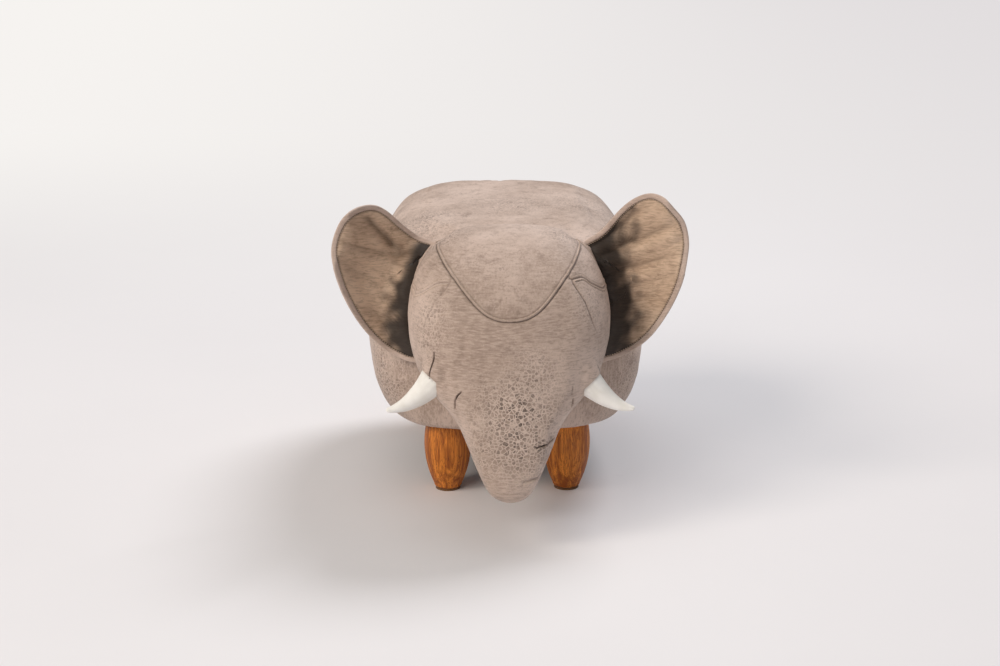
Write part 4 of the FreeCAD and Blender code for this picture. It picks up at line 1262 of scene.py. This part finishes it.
# Distances of the outer rings from an ear's edge, then the number of rings inside them
EAR_INSETS = (0.0, 0.0004, 0.0011, 0.0022, 0.0038, 0.0054, 0.0064, 0.0071, 0.0078, 0.0088,
              0.0105, 0.0135, 0.018, 0.024)
EAR_INNER_RINGS = 14
EAR_LEAST_SLANT = 0.35
EAR_MOST_IN = 0.985
EAR_STITCH_INSET = 0.0071
# Half of an ear's thickness at its rim and in its middle, and the rim's rounding and groove
EAR_FLANGE = 0.0017
EAR_FILLED = 0.0034
EAR_FILLED_FROM, EAR_FILLED_AT = 0.0075, 0.018
EAR_ROUNDING = 0.0016
EAR_GROOVE = 0.0007
EAR_GROOVE_WIDTH = 0.0008
EAR_GROOVE_SHADE_WIDTH = 0.0009
EAR_PLY = 0.0011
EAR_PLY_LAP = 0.0001
# How an ear leans back from its root, comes forward again and curls at its rim
EAR_REACH = 0.115
EAR_LEAN_BACK = 0.020
EAR_COME_FORWARD = 0.040
EAR_TOP_FROM, EAR_TOP_AT = 0.33, 0.41
EAR_RIM_CURL = 0.010
EAR_RIM_WIDTH = 0.020
EAR_RIM_ROOT = 0.05
# An ear's folds fade out at their start and near its edge
FOLD_START = (-0.15, 0.25)
FOLD_EDGE = (0.004, 0.016)
# The lining's painted shade: along its stitches, in its folds, and softly out from the root
SEWN_SHADE = 0.7
HOLLOW_SHADE = 0.52
HOLLOW_DEPTHS = (0.0005, 0.008)
SHADE_REACH = (1.1, 0.45)
SHADE_UNEVEN = 0.45
# The painted highlight on the rim outside the stitches, from its inner side
EAR_RIM_HIGHLIGHT = (0.0062, 0.0050)
# Unevenness of an ear: how close together, how high, and a seed
EAR_LUMPS = ((45, 0.0010, 3.0), (120, 0.0006, 5.0))
EAR_SHADE_LUMPS = (70, 7.0)
EAR_CRACKLE = 0.55
EAR_CRACKLE_SCALE = 30
# An ear's distance from the skin behind it, how softly that begins, and the grid for it
EAR_CLEAR = 0.0075
EAR_SOFT = 0.004
EAR_CELL = 0.004
EAR_SEEN_FROM = -0.130
EAR_RAY_STEP = 0.0005
EAR_FREE_ROOT = 0.022
NECK_ROUNDS, WIDER_ROUNDS, EVEN_ROUNDS = 30, 2, 6
# Where the bending of an ear's root begins and ends, out from the middle
EAR_BEND = (0.112, 0.145)
EAR_BEND_AT = (-0.12, 0.27)
EAR_ROOT_BARE = 0.004
# How far out from an ear's root its lining is painted in shade, at rising heights
EAR_SHADE_HEIGHTS = (0.190, 0.205, 0.231, 0.256, 0.282, 0.310, 0.335, 0.360)
RIGHT_EAR_SHADE = (0.078, 0.074, 0.060, 0.047, 0.041, 0.031, 0.033, 0.034)
LEFT_EAR_SHADE = (0.078, 0.074, 0.068, 0.060, 0.057, 0.058, 0.070, 0.085)
EAR_FOLD_DEPTH = 1.3
# Folds of each ear: start and end of the line, how deep and how wide
RIGHT_EAR_FOLDS_MM = (
    ((-186, 388), (-150, 348), 6.0, 7.0),
    ((-150, 348), (-112, 322), 4.0, 8.0),
    ((-166, 392), (-120, 340), -3.5, 6.0),
    ((-208, 348), (-138, 328), 3.2, 5.0),
    ((-206, 336), (-130, 312), -3.0, 6.0),
    ((-214, 320), (-160, 290), 2.6, 7.0),
    ((-182, 300), (-124, 268), -3.0, 9.0),
    ((-190, 262), (-130, 236), 2.4, 8.0),
    ((-160, 232), (-118, 214), -2.0, 7.0),
)
LEFT_EAR_FOLDS_MM = (
    ((172, 396), (104, 338), 6.0, 12.0),
    ((196, 392), (112, 334), -4.0, 6.0),
    ((214, 372), (120, 328), 4.0, 7.0),
    ((222, 356), (124, 318), -4.5, 6.0),
    ((216, 330), (124, 302), 4.0, 6.0),
    ((210, 308), (124, 290), -3.0, 6.0),
    ((190, 276), (122, 268), 3.2, 6.5),
    ((180, 252), (120, 246), -3.0, 7.0),
    ((164, 226), (116, 222), 2.4, 7.0),
)


# Heights along an ear's root, how far out from the middle it lies there, and its depth
ROOT_HEIGHTS = (0.180, 0.200, 0.224, 0.246, 0.275, 0.304, 0.331, 0.346, 0.360)
ROOT_SIDES = (0.096, 0.100, 0.110, 0.116, 0.117, 0.111, 0.100, 0.092, 0.086)
ROOT_DEPTHS = (-0.128, -0.127, -0.125, -0.122, -0.118, -0.111, -0.101, -0.094, -0.090)


def root_side(z):
    """How far out the ear's root lies at a height, and at what depth."""
    return (float(np.interp(z, ROOT_HEIGHTS, ROOT_SIDES)),
            float(np.interp(z, ROOT_HEIGHTS, ROOT_DEPTHS)))


def ear_depth(x, z, sign, curl):
    """The depth of the ear's middle layer: back from its root, then forward to its rim."""
    side, depth = root_side(z)
    share = min(1.0, max(0.0, sign * x - side) / EAR_REACH)
    back = EAR_LEAN_BACK * math.sin(math.pi * share ** 0.75)
    forward = EAR_COME_FORWARD * share ** 2.0
    top = float(smoothstep(EAR_TOP_FROM, EAR_TOP_AT, z))
    return depth + back - forward - curl * top * share


def ear_rings(loop, centre):
    """Rings of (flat place, distance from the edge), from an ear's edge in to its centre."""
    span = max((point - centre).length for point in loop)
    last_inset = EAR_INSETS[-1]
    rings = []
    for level in range(len(EAR_INSETS) + EAR_INNER_RINGS):
        ring = []
        for index, point in enumerate(loop):
            way = (loop[(index + 1) % len(loop)] - loop[index - 1]).normalized()
            inward = Vector((-way.y, way.x, 0))
            ray = centre - point
            if inward.dot(ray) < 0:
                inward = -inward
            slant = max(EAR_LEAST_SLANT, inward.dot(ray.normalized()))
            scale = min(1 / (slant * ray.length), 0.5 / last_inset)
            if level < len(EAR_INSETS):
                inset = EAR_INSETS[level]
                share = inset * scale
            else:
                last = last_inset * scale
                part = (level - len(EAR_INSETS) + 1) / (EAR_INNER_RINGS + 0.4)
                inset = last_inset + (span - last_inset) * part
                share = last + (1 - last) * part
            ring.append((point + ray * min(share, EAR_MOST_IN), inset))
        rings.append(ring)
    return rings


def ring_normals(spots):
    """The normal at each spot of the rings, turned to the front."""
    normals = []
    for level, ring in enumerate(spots):
        inner = spots[min(level + 1, len(spots) - 1)]
        outer = spots[max(level - 1, 0)]
        row = []
        for index in range(len(ring)):
            round_way = ring[(index + 1) % len(ring)] - ring[index - 1]
            normal = round_way.cross(inner[index] - outer[index]).normalized()
            row.append(normal if normal.y < 0 else -normal)
        normals.append(row)
    return normals


def half_thickness(inset):
    """Half of an ear's thickness at a distance from its edge."""
    rounded = math.sqrt(max(0.0, 1 - (1 - min(1.0, inset / EAR_ROUNDING)) ** 2))
    share = float(smoothstep(EAR_FILLED_FROM, EAR_FILLED_AT, inset))
    filled = EAR_FLANGE + (EAR_FILLED - EAR_FLANGE) * share
    return rounded * filled - EAR_GROOVE * bell(inset - EAR_STITCH_INSET, EAR_GROOVE_WIDTH)


def beside(field):
    """The four neighbours of every place of a grid."""
    wide = np.pad(field, 1, mode="edge")
    return [wide[:-2, 1:-1], wide[2:, 1:-1], wide[1:-1, :-2], wide[1:-1, 2:]]


class Ear:
    """One ear of two sewn plies over a thin stuffing, cupped towards the front and clear
    of the body's skin behind it."""

    def __init__(self, name, sign, edge_mm, folds_mm, shades, curl, skin):
        """Lays out the ear's middle layer, ring by ring from its edge."""
        self.name, self.sign, self.folds_mm = name, sign, folds_mm
        self.shades, self.curl, self.skin = shades, curl, skin
        outline = [(x * MM, z * MM) for x, z in edge_mm]
        outline += [(sign * x * MM, z * MM) for x, z in EAR_ROOT_MM]
        self.loop = smooth_loop([(x, z, 0) for x, z in outline], EAR_ROUND)
        self.centre = sum(self.loop, Vector()) / len(self.loop)
        self.edge_tree = tree_of(self.loop)
        self.rings = ear_rings(self.loop, self.centre)
        self.insets = [ring[0][1] for ring in self.rings]
        self.measure_push()
        rows = [[self.own_depth(flat) for flat, _ in ring] for ring in self.rings]
        self.folded = [[fold for _, fold in row] for row in rows]
        depths = np.array([[depth - self.held(flat) for (flat, _), (depth, _) in zip(ring, row)]
                           for ring, row in zip(self.rings, rows)])
        self.spots = [[sight_shift(flat.x, flat.y, depth) for (flat, _), depth in zip(ring, row)]
                      for ring, row in zip(self.rings, depths)]
        self.normals = ring_normals(self.spots)
        self.pole = sight_shift(self.centre.x, self.centre.y, float(depths[-1].mean()))
        self.pole_normal = sum(self.normals[-1], Vector()).normalized()

    def own_depth(self, flat):
        """The depth of the ear's middle at a spot, and how far the folds press it in."""
        x, z = flat.x, flat.y
        out = self.sign * x - root_side(z)[0]
        away = self.edge_tree.find(flat)[2]
        rim = bell(away, EAR_RIM_WIDTH) * float(smoothstep(0.0, EAR_RIM_ROOT, out))
        depth = ear_depth(x, z, self.sign, self.curl) - EAR_RIM_CURL * rim
        folded = 0.0
        spot = Vector((x, z))
        for start, end, deep, wide in self.folds_mm:
            first, second = Vector(start) * MM, Vector(end) * MM
            along = second - first
            share = min(1.0, max(0.0, (spot - first).dot(along) / along.length_squared))
            off = (spot - first - along * share).length
            fade = float(smoothstep(*FOLD_START, share)) * float(smoothstep(*FOLD_EDGE, away))
            fold = EAR_FOLD_DEPTH * deep * MM * bell(off, wide * MM) * fade
            depth += fold
            folded += fold
        for scale, height, seed in EAR_LUMPS:
            depth += height * noise.noise(Vector((x * scale, z * scale, self.sign * seed)))
        return depth, folded

    def push(self, x, z):
        """How far the body's skin behind the ear holds this spot forward; less than zero
        where the neck leaves no skin behind it."""
        ahead = Vector((0, 1, 0))
        place, normal, _, _ = self.skin.ray_cast(Vector((x, EAR_SEEN_FROM, z)), ahead)
        if place and normal.y > 0:
            place, normal, _, _ = self.skin.ray_cast(place + ahead * EAR_RAY_STEP, ahead)
        if not place or normal.y > 0:
            return -1.0
        over = self.own_depth(Vector((x, z, 0)))[0] - (place.y - EAR_CLEAR)
        return over if over > EAR_SOFT else max(0.0, over + EAR_SOFT) ** 2 / (4 * EAR_SOFT)

    def measure_push(self):
        """Measures the push on a grid, carries it over the neck and eases it."""
        low_x, high_x = min(point.x for point in self.loop), max(point.x for point in self.loop)
        low_z, high_z = min(point.y for point in self.loop), max(point.y for point in self.loop)
        self.across = np.arange(low_x - EAR_CELL, high_x + 2 * EAR_CELL, EAR_CELL)
        self.upward = np.arange(low_z - EAR_CELL, high_z + 2 * EAR_CELL, EAR_CELL)
        field = np.array([[self.push(x, z) for z in self.upward] for x in self.across])
        for _ in range(NECK_ROUNDS):
            field = np.where(field < 0, np.maximum.reduce(beside(field)), field)
        for _ in range(WIDER_ROUNDS):
            field = np.maximum(np.maximum(field, np.maximum.reduce(beside(field))), 0)
        for _ in range(EVEN_ROUNDS):
            field = (field + sum(beside(field))) / 5
        self.field = field

    def held(self, flat):
        """The eased push at a spot, none at the root itself."""
        side, up = (flat.x - self.across[0]) / EAR_CELL, (flat.y - self.upward[0]) / EAR_CELL
        i, j = int(side), int(up)
        a, b = side - i, up - j
        low = self.field[i, j] * (1 - a) + self.field[i + 1, j] * a
        high = self.field[i, j + 1] * (1 - a) + self.field[i + 1, j + 1] * a
        out = self.sign * flat.x - root_side(flat.y)[0]
        return float((low * (1 - b) + high * b) * smoothstep(0.0, EAR_FREE_ROOT, out))

    def painted_shade_at(self, level, index, shaded):
        """How much painted shade a spot gets: along the stitches, and where shaded also by root and folds.
        """
        flat = self.rings[level][index][0]
        scale, seed = EAR_SHADE_LUMPS
        uneven = noise.noise(Vector((flat.x * scale, flat.y * scale, self.sign * seed)))
        reach = float(np.interp(flat.y, EAR_SHADE_HEIGHTS, self.shades))
        reach *= 1 + SHADE_UNEVEN * uneven
        out = self.sign * flat.x - root_side(flat.y)[0]
        light, dark = SHADE_REACH
        deep = float(smoothstep(light * reach, dark * reach, out))
        hollow = HOLLOW_SHADE * float(smoothstep(*HOLLOW_DEPTHS, self.folded[level][index]))
        sewn = bell(self.insets[level] - EAR_STITCH_INSET, EAR_GROOVE_SHADE_WIDTH)
        return min(1.0, SEWN_SHADE * sewn + shaded * max(deep, hollow))

    def shell(self, piece_name, levels, over, under, shaded):
        """A closed body between two offsets of the middle, for a run of rings."""
        bm = bmesh.new()
        flat_layer = bm.verts.layers.float_vector.new("rest_place")
        painted_shade_layer = bm.verts.layers.float.new("painted_shade")
        band_highlight_layer = bm.verts.layers.float.new("band")
        sides = []
        for offset in (over, under):
            rows = []
            for level in levels:
                inset = self.insets[level]
                row = []
                for index in range(EAR_ROUND):
                    away = self.normals[level][index] * offset(inset)
                    vertex = bm.verts.new(self.spots[level][index] + away)
                    flat = self.rings[level][index][0]
                    vertex[flat_layer] = (flat.x, EAR_DEPTH, flat.y)
                    # Painted shade: the stitch groove, the folds' hollows and out from the root
                    vertex[painted_shade_layer] = self.painted_shade_at(level, index, shaded)
                    # Painted highlight on the rim outside the stitches, as if it caught the light
                    vertex[band_highlight_layer] = float(smoothstep(*EAR_RIM_HIGHLIGHT, inset))
                    row.append(vertex)
                rows.append(row)
            top = bm.verts.new(self.pole + self.pole_normal * offset(self.insets[-1]))
            top[flat_layer] = (self.centre.x, EAR_DEPTH, self.centre.y)
            sides.append((rows, top))
        for rows, top in sides:
            loft(bm, rows)
            for index in range(EAR_ROUND):
                bm.faces.new((rows[-1][index], rows[-1][(index + 1) % EAR_ROUND], top))
        first, second = sides[0][0][0], sides[1][0][0]
        for index in range(EAR_ROUND):
            after = (index + 1) % EAR_ROUND
            bm.faces.new((first[index], second[index], second[after], first[after]))
        bmesh.ops.remove_doubles(bm, verts=bm.verts, dist=SAME_PLACE)
        bmesh.ops.recalc_face_normals(bm, faces=bm.faces)
        thing = from_bmesh(piece_name, bm)
        smooth(thing)
        mesh = thing.data
        rough = [noise.noise(Vector(place) * EAR_CRACKLE_SCALE) for place in places(mesh)]
        give_share(mesh, "crackle", EAR_CRACKLE * np.clip(np.array(rough), 0, 1))
        return thing

    def sew(self):
        """The leather behind, the lining in front and the stitches around them."""
        name, sign = self.name, self.sign
        stitch_level = EAR_INSETS.index(EAR_STITCH_INSET)
        back = self.shell(
            f"{name}_ear_back_leather", range(len(self.rings)),
            lambda inset: half_thickness(inset)
            - EAR_PLY * float(inset > EAR_STITCH_INSET - EAR_PLY_LAP),
            lambda inset: -half_thickness(inset),
            0.0,
        )
        lining = self.shell(
            f"{name}_ear_lining", range(stitch_level, len(self.rings)),
            half_thickness,
            lambda inset: half_thickness(inset) - EAR_PLY + EAR_PLY_LAP,
            1.0,
        )
        finished(back, HIDE, None, (f"{name}_ear_back", f"{name}_ear_core"))
        finished(lining, LINING, None, (f"{name}_ear_front",))

        on_edge = [index for index, point in enumerate(self.loop)
                   if sign * point.x > root_side(point.y)[0] + EAR_ROOT_BARE]
        start = next(index for index in on_edge if (index - 1) % EAR_ROUND not in on_edge)
        order = [(start + step) % EAR_ROUND for step in range(len(on_edge))]
        spots, normals = self.spots[stitch_level], self.normals[stitch_level]
        lift = half_thickness(EAR_STITCH_INSET)
        runs = [[(spots[index] + normals[index] * way * lift, normals[index] * way)
                 for index in order] for way in (1, -1)]
        stitches = stitch_mesh(f"{name}_ear_stitches", runs, *EAR_STITCHES)
        inner, outer = [(sign * side, *EAR_BEND_AT) for side in EAR_BEND]
        for thing in (back, lining, stitches):
            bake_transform(thing, "root", f"{name}_ear", start=inner, end=outer)


# The tusks


def tusk(side):
    """A stuffed cloth horn, gathered where it is sewn on and seamed along its under side."""
    bm = bmesh.new()
    painted_shade = bm.verts.layers.float.new("painted_shade")
    start = TUSK_STARTS[side]
    outline = [(start + shift, size) for shift, size in TUSK_TUCKED]
    for step in range(TUSK_STEPS + 1):
        share = start + (1 - start) * (step / TUSK_STEPS) ** TUSK_SPREAD
        if share < TUSK_BODY_END:
            outline.append((share, 1.0))
    outline += TUSK_TIP
    rows = []
    for share, size in outline:
        centre, way, radius = tusk_section(side, share)
        across = way.cross(Vector((0, 0, 1))).normalized()
        up = across.cross(way)
        gathers = TUSK_GATHER_DEPTH * math.exp(-abs(share - start) / TUSK_GATHER_REACH)
        row = []
        for turn in range(TUSK_ROUND):
            angle = turn / TUSK_ROUND * math.tau
            around = across * math.cos(angle) + up * math.sin(angle)
            below = (angle / math.tau - 0.75 + 0.5) % 1 - 0.5
            seam = bell(below * TUSK_ROUND, TUSK_SEAM_WIDTH)
            pucker = gathers * math.sin(TUSK_GATHERS * angle + 2.2 * math.sin(3 * angle))
            swell = TUSK_SWELL * noise.noise(centre * 55 + around * 0.8)
            full = 1 + pucker + swell - TUSK_SEAM_DEPTH * seam
            vertex = bm.verts.new(centre + around * radius * size * full)
            sewn_on = float(smoothstep(start + TUSK_GATHER_REACH / 2, start, share))
            # Painted shade along the under seam and at the gathered, sewn-on end
            vertex[painted_shade] = min(1.0, 0.5 * seam + 0.8 * sewn_on)
            row.append(vertex)
        rows.append(row)
    loft(bm, rows)
    bmesh.ops.remove_doubles(bm, verts=bm.verts, dist=SAME_PLACE)
    bmesh.ops.recalc_face_normals(bm, faces=bm.faces)
    thing = from_bmesh(f"{side}_tusk", bm)
    modified(thing, "SUBSURF", levels=1, render_levels=1)
    smooth(thing)
    finished(thing, TUSK_CLOTH, "root",
             (f"{side}_tusk_cover", f"{side}_tusk_filling"))


# The tail


TAIL_DEEP = 0.006
# The cord: how it leaves the rump and bends down, its radii at root and end, and its seam
CORD_ROUND, CORD_STEPS = 20, 60
CORD_SUNK = 0.004
CORD_TOP = 0.007
CORD_BEND_SHARE = 0.12
CORD_BEND_FALL = 0.011
CORD_END = 0.001
CORD_RADIUS = 0.0058
CORD_THINNER = 0.0016
CORD_SEAM_DEPTH = 0.16
CORD_SEAM_WIDTH = 0.28
CORD_SEAM_TURNS = 1.2
CORD_BLEND_FALL = 0.006
# The tuft: its strips, how far they spread and turn, and how wide and thick they are
TUFT_STRIPS, TUFT_STEPS = 26, 8
TUFT_LAP = 0.004
TUFT_LEAST, TUFT_SPREAD = 0.0025, 0.0095
TUFT_TURN = 0.25
STRIP_WIDE, STRIP_WIDER, STRIP_POINTED = 0.0016, 0.0012, 0.0018
STRIP_THICK = 0.0005
# The binding: the turns around it and its section, as distances out and half heights
BINDING_ROUND = 24
BINDING_RISE = 0.003
BINDING_FORM = ((0.0, 0.0), (0.0062, 0.0004), (0.0074, 0.0), (0.0078, -0.001),
                (0.0074, -0.002), (0.0062, -0.0024), (0.0, -0.0024))


def tail_cord(x, y):
    """A rolled leather cord, sewn on at the rump and bent down from there."""
    low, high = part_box("tail_cord")
    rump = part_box("rump_cover")[1].y
    top = high.z - CORD_TOP
    bent = top - CORD_BEND_FALL
    bm = bmesh.new()
    rows = []
    for step in range(CORD_STEPS + 1):
        share = step / CORD_STEPS
        angle = min(1.0, share / CORD_BEND_SHARE) * math.pi / 2
        if share < CORD_BEND_SHARE:
            height = top - CORD_BEND_FALL * (1 - math.cos(angle))
            depth = rump - CORD_SUNK + (y - rump + CORD_SUNK) * math.sin(angle)
        else:
            down = (share - CORD_BEND_SHARE) / (1 - CORD_BEND_SHARE)
            height = bent - down * (bent - low.z - CORD_END)
            depth = y
        radius = CORD_RADIUS - CORD_THINNER * share
        up = Vector((0, math.sin(angle), math.cos(angle)))
        row = []
        for turn in range(CORD_ROUND):
            around = turn / CORD_ROUND * math.tau
            seam = (around - CORD_SEAM_TURNS * share * math.pi) % math.tau - math.pi
            fold = 1 - CORD_SEAM_DEPTH * bell(seam, CORD_SEAM_WIDTH)
            offset = Vector((math.cos(around), 0, 0)) + up * math.sin(around)
            row.append(bm.verts.new(Vector((x, depth, height)) + offset * radius * fold))
        rows.append(row)
    loft(bm, rows, capped=True)
    bmesh.ops.recalc_face_normals(bm, faces=bm.faces)
    cord = from_bmesh("tail_leather_cord", bm)
    smooth(cord)
    finished(cord, HIDE, None, ("tail_cord", "tail_tab"))
    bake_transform(cord, "root", "tail", start=(0, rump, top), end=(0, y, top - CORD_BLEND_FALL))


def tail_tuft(x, y):
    """The tuft of cut leather strips at the cord's end."""
    low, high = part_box("tail_tuft")
    bm = bmesh.new()
    golden = math.pi * (3 - math.sqrt(5))
    for strip in range(TUFT_STRIPS):
        spread = math.sqrt((strip + 0.5) / TUFT_STRIPS)
        uneven = noise.noise(Vector((strip * 1.7, 0.3, 0.9)))
        length = (high.z - low.z) * (0.84 + 0.16 * uneven)
        rows = []
        for step in range(TUFT_STEPS + 1):
            share = step / TUFT_STEPS
            bulge = math.sin(math.pi * min(1.0, share * 1.15) * 0.62)
            out = TUFT_LEAST + spread * TUFT_SPREAD * bulge
            turn = strip * golden + TUFT_TURN * share
            outward = Vector((math.cos(turn), math.sin(turn), 0))
            across = Vector((-math.sin(turn), math.cos(turn), 0))
            centre = Vector((x, y, high.z + TUFT_LAP - share * length)) + outward * out
            wide = STRIP_WIDE + STRIP_WIDER * share - STRIP_POINTED * max(0.0, share - 0.8) * 3
            rows.append([bm.verts.new(centre + across * wide * a + outward * STRIP_THICK * b)
                         for a, b in ((-1, -1), (1, -1), (1, 1), (-1, 1))])
        loft(bm, rows, capped=True)
    bmesh.ops.recalc_face_normals(bm, faces=bm.faces)
    tuft = from_bmesh("tail_tuft_strips", bm)
    finished(tuft, HIDE, "tail", ("tail_tuft",))


def tail_binding(x, y):
    """The thread wound around the top of the tuft."""
    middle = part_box("tail_tuft")[1].z + BINDING_RISE
    bm = bmesh.new()
    rows = []
    for out, up in BINDING_FORM:
        row = []
        for turn in range(BINDING_ROUND):
            angle = turn / BINDING_ROUND * math.tau
            row.append(bm.verts.new((x + out * math.cos(angle), y + out * math.sin(angle),
                                     middle + up * 2)))
        rows.append(row)
    loft(bm, rows)
    bmesh.ops.remove_doubles(bm, verts=bm.verts, dist=0.00002)
    bmesh.ops.recalc_face_normals(bm, faces=bm.faces)
    binding = from_bmesh("tail_binding", bm)
    smooth(binding)
    finished(binding, THREAD, "tail")


# The stage


WORLD_COLOUR = (0.95, 0.96, 1.0, 1.0)
WORLD_STRENGTH = 0.23
# Each lamp's name, place, size, power and colour; all of them are aimed at one spot
LAMPS = (
    ("rear_lamp", (2.7, 2.9, 4.9), 2.7, 215.0, (1.0, 0.985, 1.0)),
    ("side_lamp", (-5.3, -3.1, 4.9), 3.2, 235.0, (1.0, 0.90, 0.79)),
    ("front_lamp", (-3.0, -4.6, 3.5), 2.4, 95.0, (1.0, 0.92, 0.83)),
    ("top_lamp", (-1.1, 0.4, 5.4), 4.0, 40.0, (1.0, 1.0, 1.0)),
)
LAMPS_AIM = Vector((0.0, -0.05, 0.2))


def make_floor():
    """The pale scuffed floor, painted darker towards +X as shade, which runs into a bright distance that
    glows for the camera, its glow also painted brighter towards -X and darker towards +X.
    """
    bpy.ops.object.select_all(action="DESELECT")
    bpy.ops.mesh.primitive_plane_add(size=40, location=(0, 0, 0))
    floor = bpy.context.object
    floor.name = "floor"
    paint = Finish("pale_floor")
    place = paint.object_place()
    across = paint.add("ShaderNodeSeparateXYZ", 0, Vector=place)
    along = paint.add("ShaderNodeSeparateXYZ", 1, Vector=place)
    cloud = paint.noise(place, 1.1, 4.0)
    near = paint.blend(cloud, tone(224, 223, 225), tone(233, 232, 234))
    # Painted shade: the floor darkens towards +X, as if lit from -X
    near = paint.blend(paint.ramp(across, 0.1, 1.4, 0.0, 0.8), near, tone(212, 209, 210))
    scuffs = paint.noise(paint.stretched(place, (6.0, 24.0, 1.0)), 1.0, 6.0, 0.72, 2.0)
    near = paint.blend(paint.ramp(scuffs, 0.70, 0.80, 0.0, 0.4), near, tone(176, 172, 168))
    near = paint.blend(paint.ramp(paint.noise(place, 9.0, 5.0, 0.7), 0.66, 0.8, 0.0, 0.2), near,
                       tone(196, 196, 200))
    # Painted light and shade: the glowing distance is brighter towards -X and darker towards +X
    seen = paint.blend(paint.ramp(across, -1.6, 2.2), tone(246, 243, 240), tone(226, 222, 223))
    glow = paint.add("ShaderNodeEmission", 0, None, Color=seen)
    far = paint.math("MULTIPLY", paint.ramp(along, 0.35, 2.6),
                     paint.add("ShaderNodeLightPath", "Is Camera Ray"))
    material = paint.done(Base_Color=near, Roughness=0.8)
    mixed = paint.add("ShaderNodeMixShader", 0, None, i0=far,
                      i1=paint.shader.outputs["BSDF"], i2=glow)
    paint.links.new(mixed, paint.nodes["Material Output"].inputs["Surface"])
    floor.data.materials.append(material)


def make_lights():
    """The faint light from all around and the soft round lamps."""
    world = bpy.data.worlds.new("studio")
    world.use_nodes = True
    sky = world.node_tree.nodes["Background"]
    sky.inputs["Color"].default_value = WORLD_COLOUR
    sky.inputs["Strength"].default_value = WORLD_STRENGTH
    bpy.context.scene.world = world
    for name, spot, size, power, colour in LAMPS:
        data = bpy.data.lights.new(name, "AREA")
        data.shape = "DISK"
        data.size = size
        data.energy = power
        data.color = colour
        lamp = bpy.data.objects.new(name, data)
        lamp.location = spot
        aim = LAMPS_AIM - Vector(spot)
        lamp.rotation_euler = aim.to_track_quat("-Z", "Y").to_euler()
        bpy.context.scene.collection.objects.link(lamp)


def make_camera():
    """The camera as fitted to the photo."""
    data = bpy.data.cameras.new("camera")
    data.lens = LENS
    data.sensor_width = SENSOR
    data.shift_x = VIEW_SHIFT
    camera = bpy.data.objects.new("camera", data)
    camera.location = Vector(EYE_MM) * MM
    camera.rotation_euler = (math.radians(90 - VIEW_DROP), 0, math.radians(VIEW_TURN))
    bpy.context.scene.collection.objects.link(camera)
    bpy.context.scene.camera = camera
    bpy.context.scene.view_settings.view_transform = "Standard"


TONGUE_PAIRS = {("face", "seat"), ("left_temple", "seat"), ("right_temple", "seat"),
                ("left_cheek", "seat"), ("right_cheek", "seat")}
# How far the top of each ear curls forward
LEFT_EAR_CURL, RIGHT_EAR_CURL = 0.006, 0.016

make_floor()
make_lights()
make_camera()
dress_nodes()
whole_skin = make_skin()
skin_surface = panel_pieces(whole_skin)
runs = seam_runs(whole_skin, TONGUE_PAIRS, "seat", STITCH_INSET)
for side in ("left", "right"):
    pair = (f"{side}_cheek", f"{side}_temple")
    for panel in pair:
        runs += seam_runs(whole_skin, {pair}, panel, STITCH_INSET)
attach(stitch_mesh("head_stitches", runs, *HEAD_STITCHES), "root")
Ear("left", 1, LEFT_EAR_EDGE_MM, LEFT_EAR_FOLDS_MM, LEFT_EAR_SHADE, LEFT_EAR_CURL,
    skin_surface).sew()
Ear("right", -1, RIGHT_EAR_EDGE_MM, RIGHT_EAR_FOLDS_MM, RIGHT_EAR_SHADE, RIGHT_EAR_CURL,
    skin_surface).sew()
tusk("left")
tusk("right")
cord_low, cord_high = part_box("tail_cord")
tail_x, tail_y = (cord_low.x + cord_high.x) / 2, cord_low.y + TAIL_DEEP
tail_cord(tail_x, tail_y)
tail_tuft(tail_x, tail_y)
tail_binding(tail_x, tail_y)
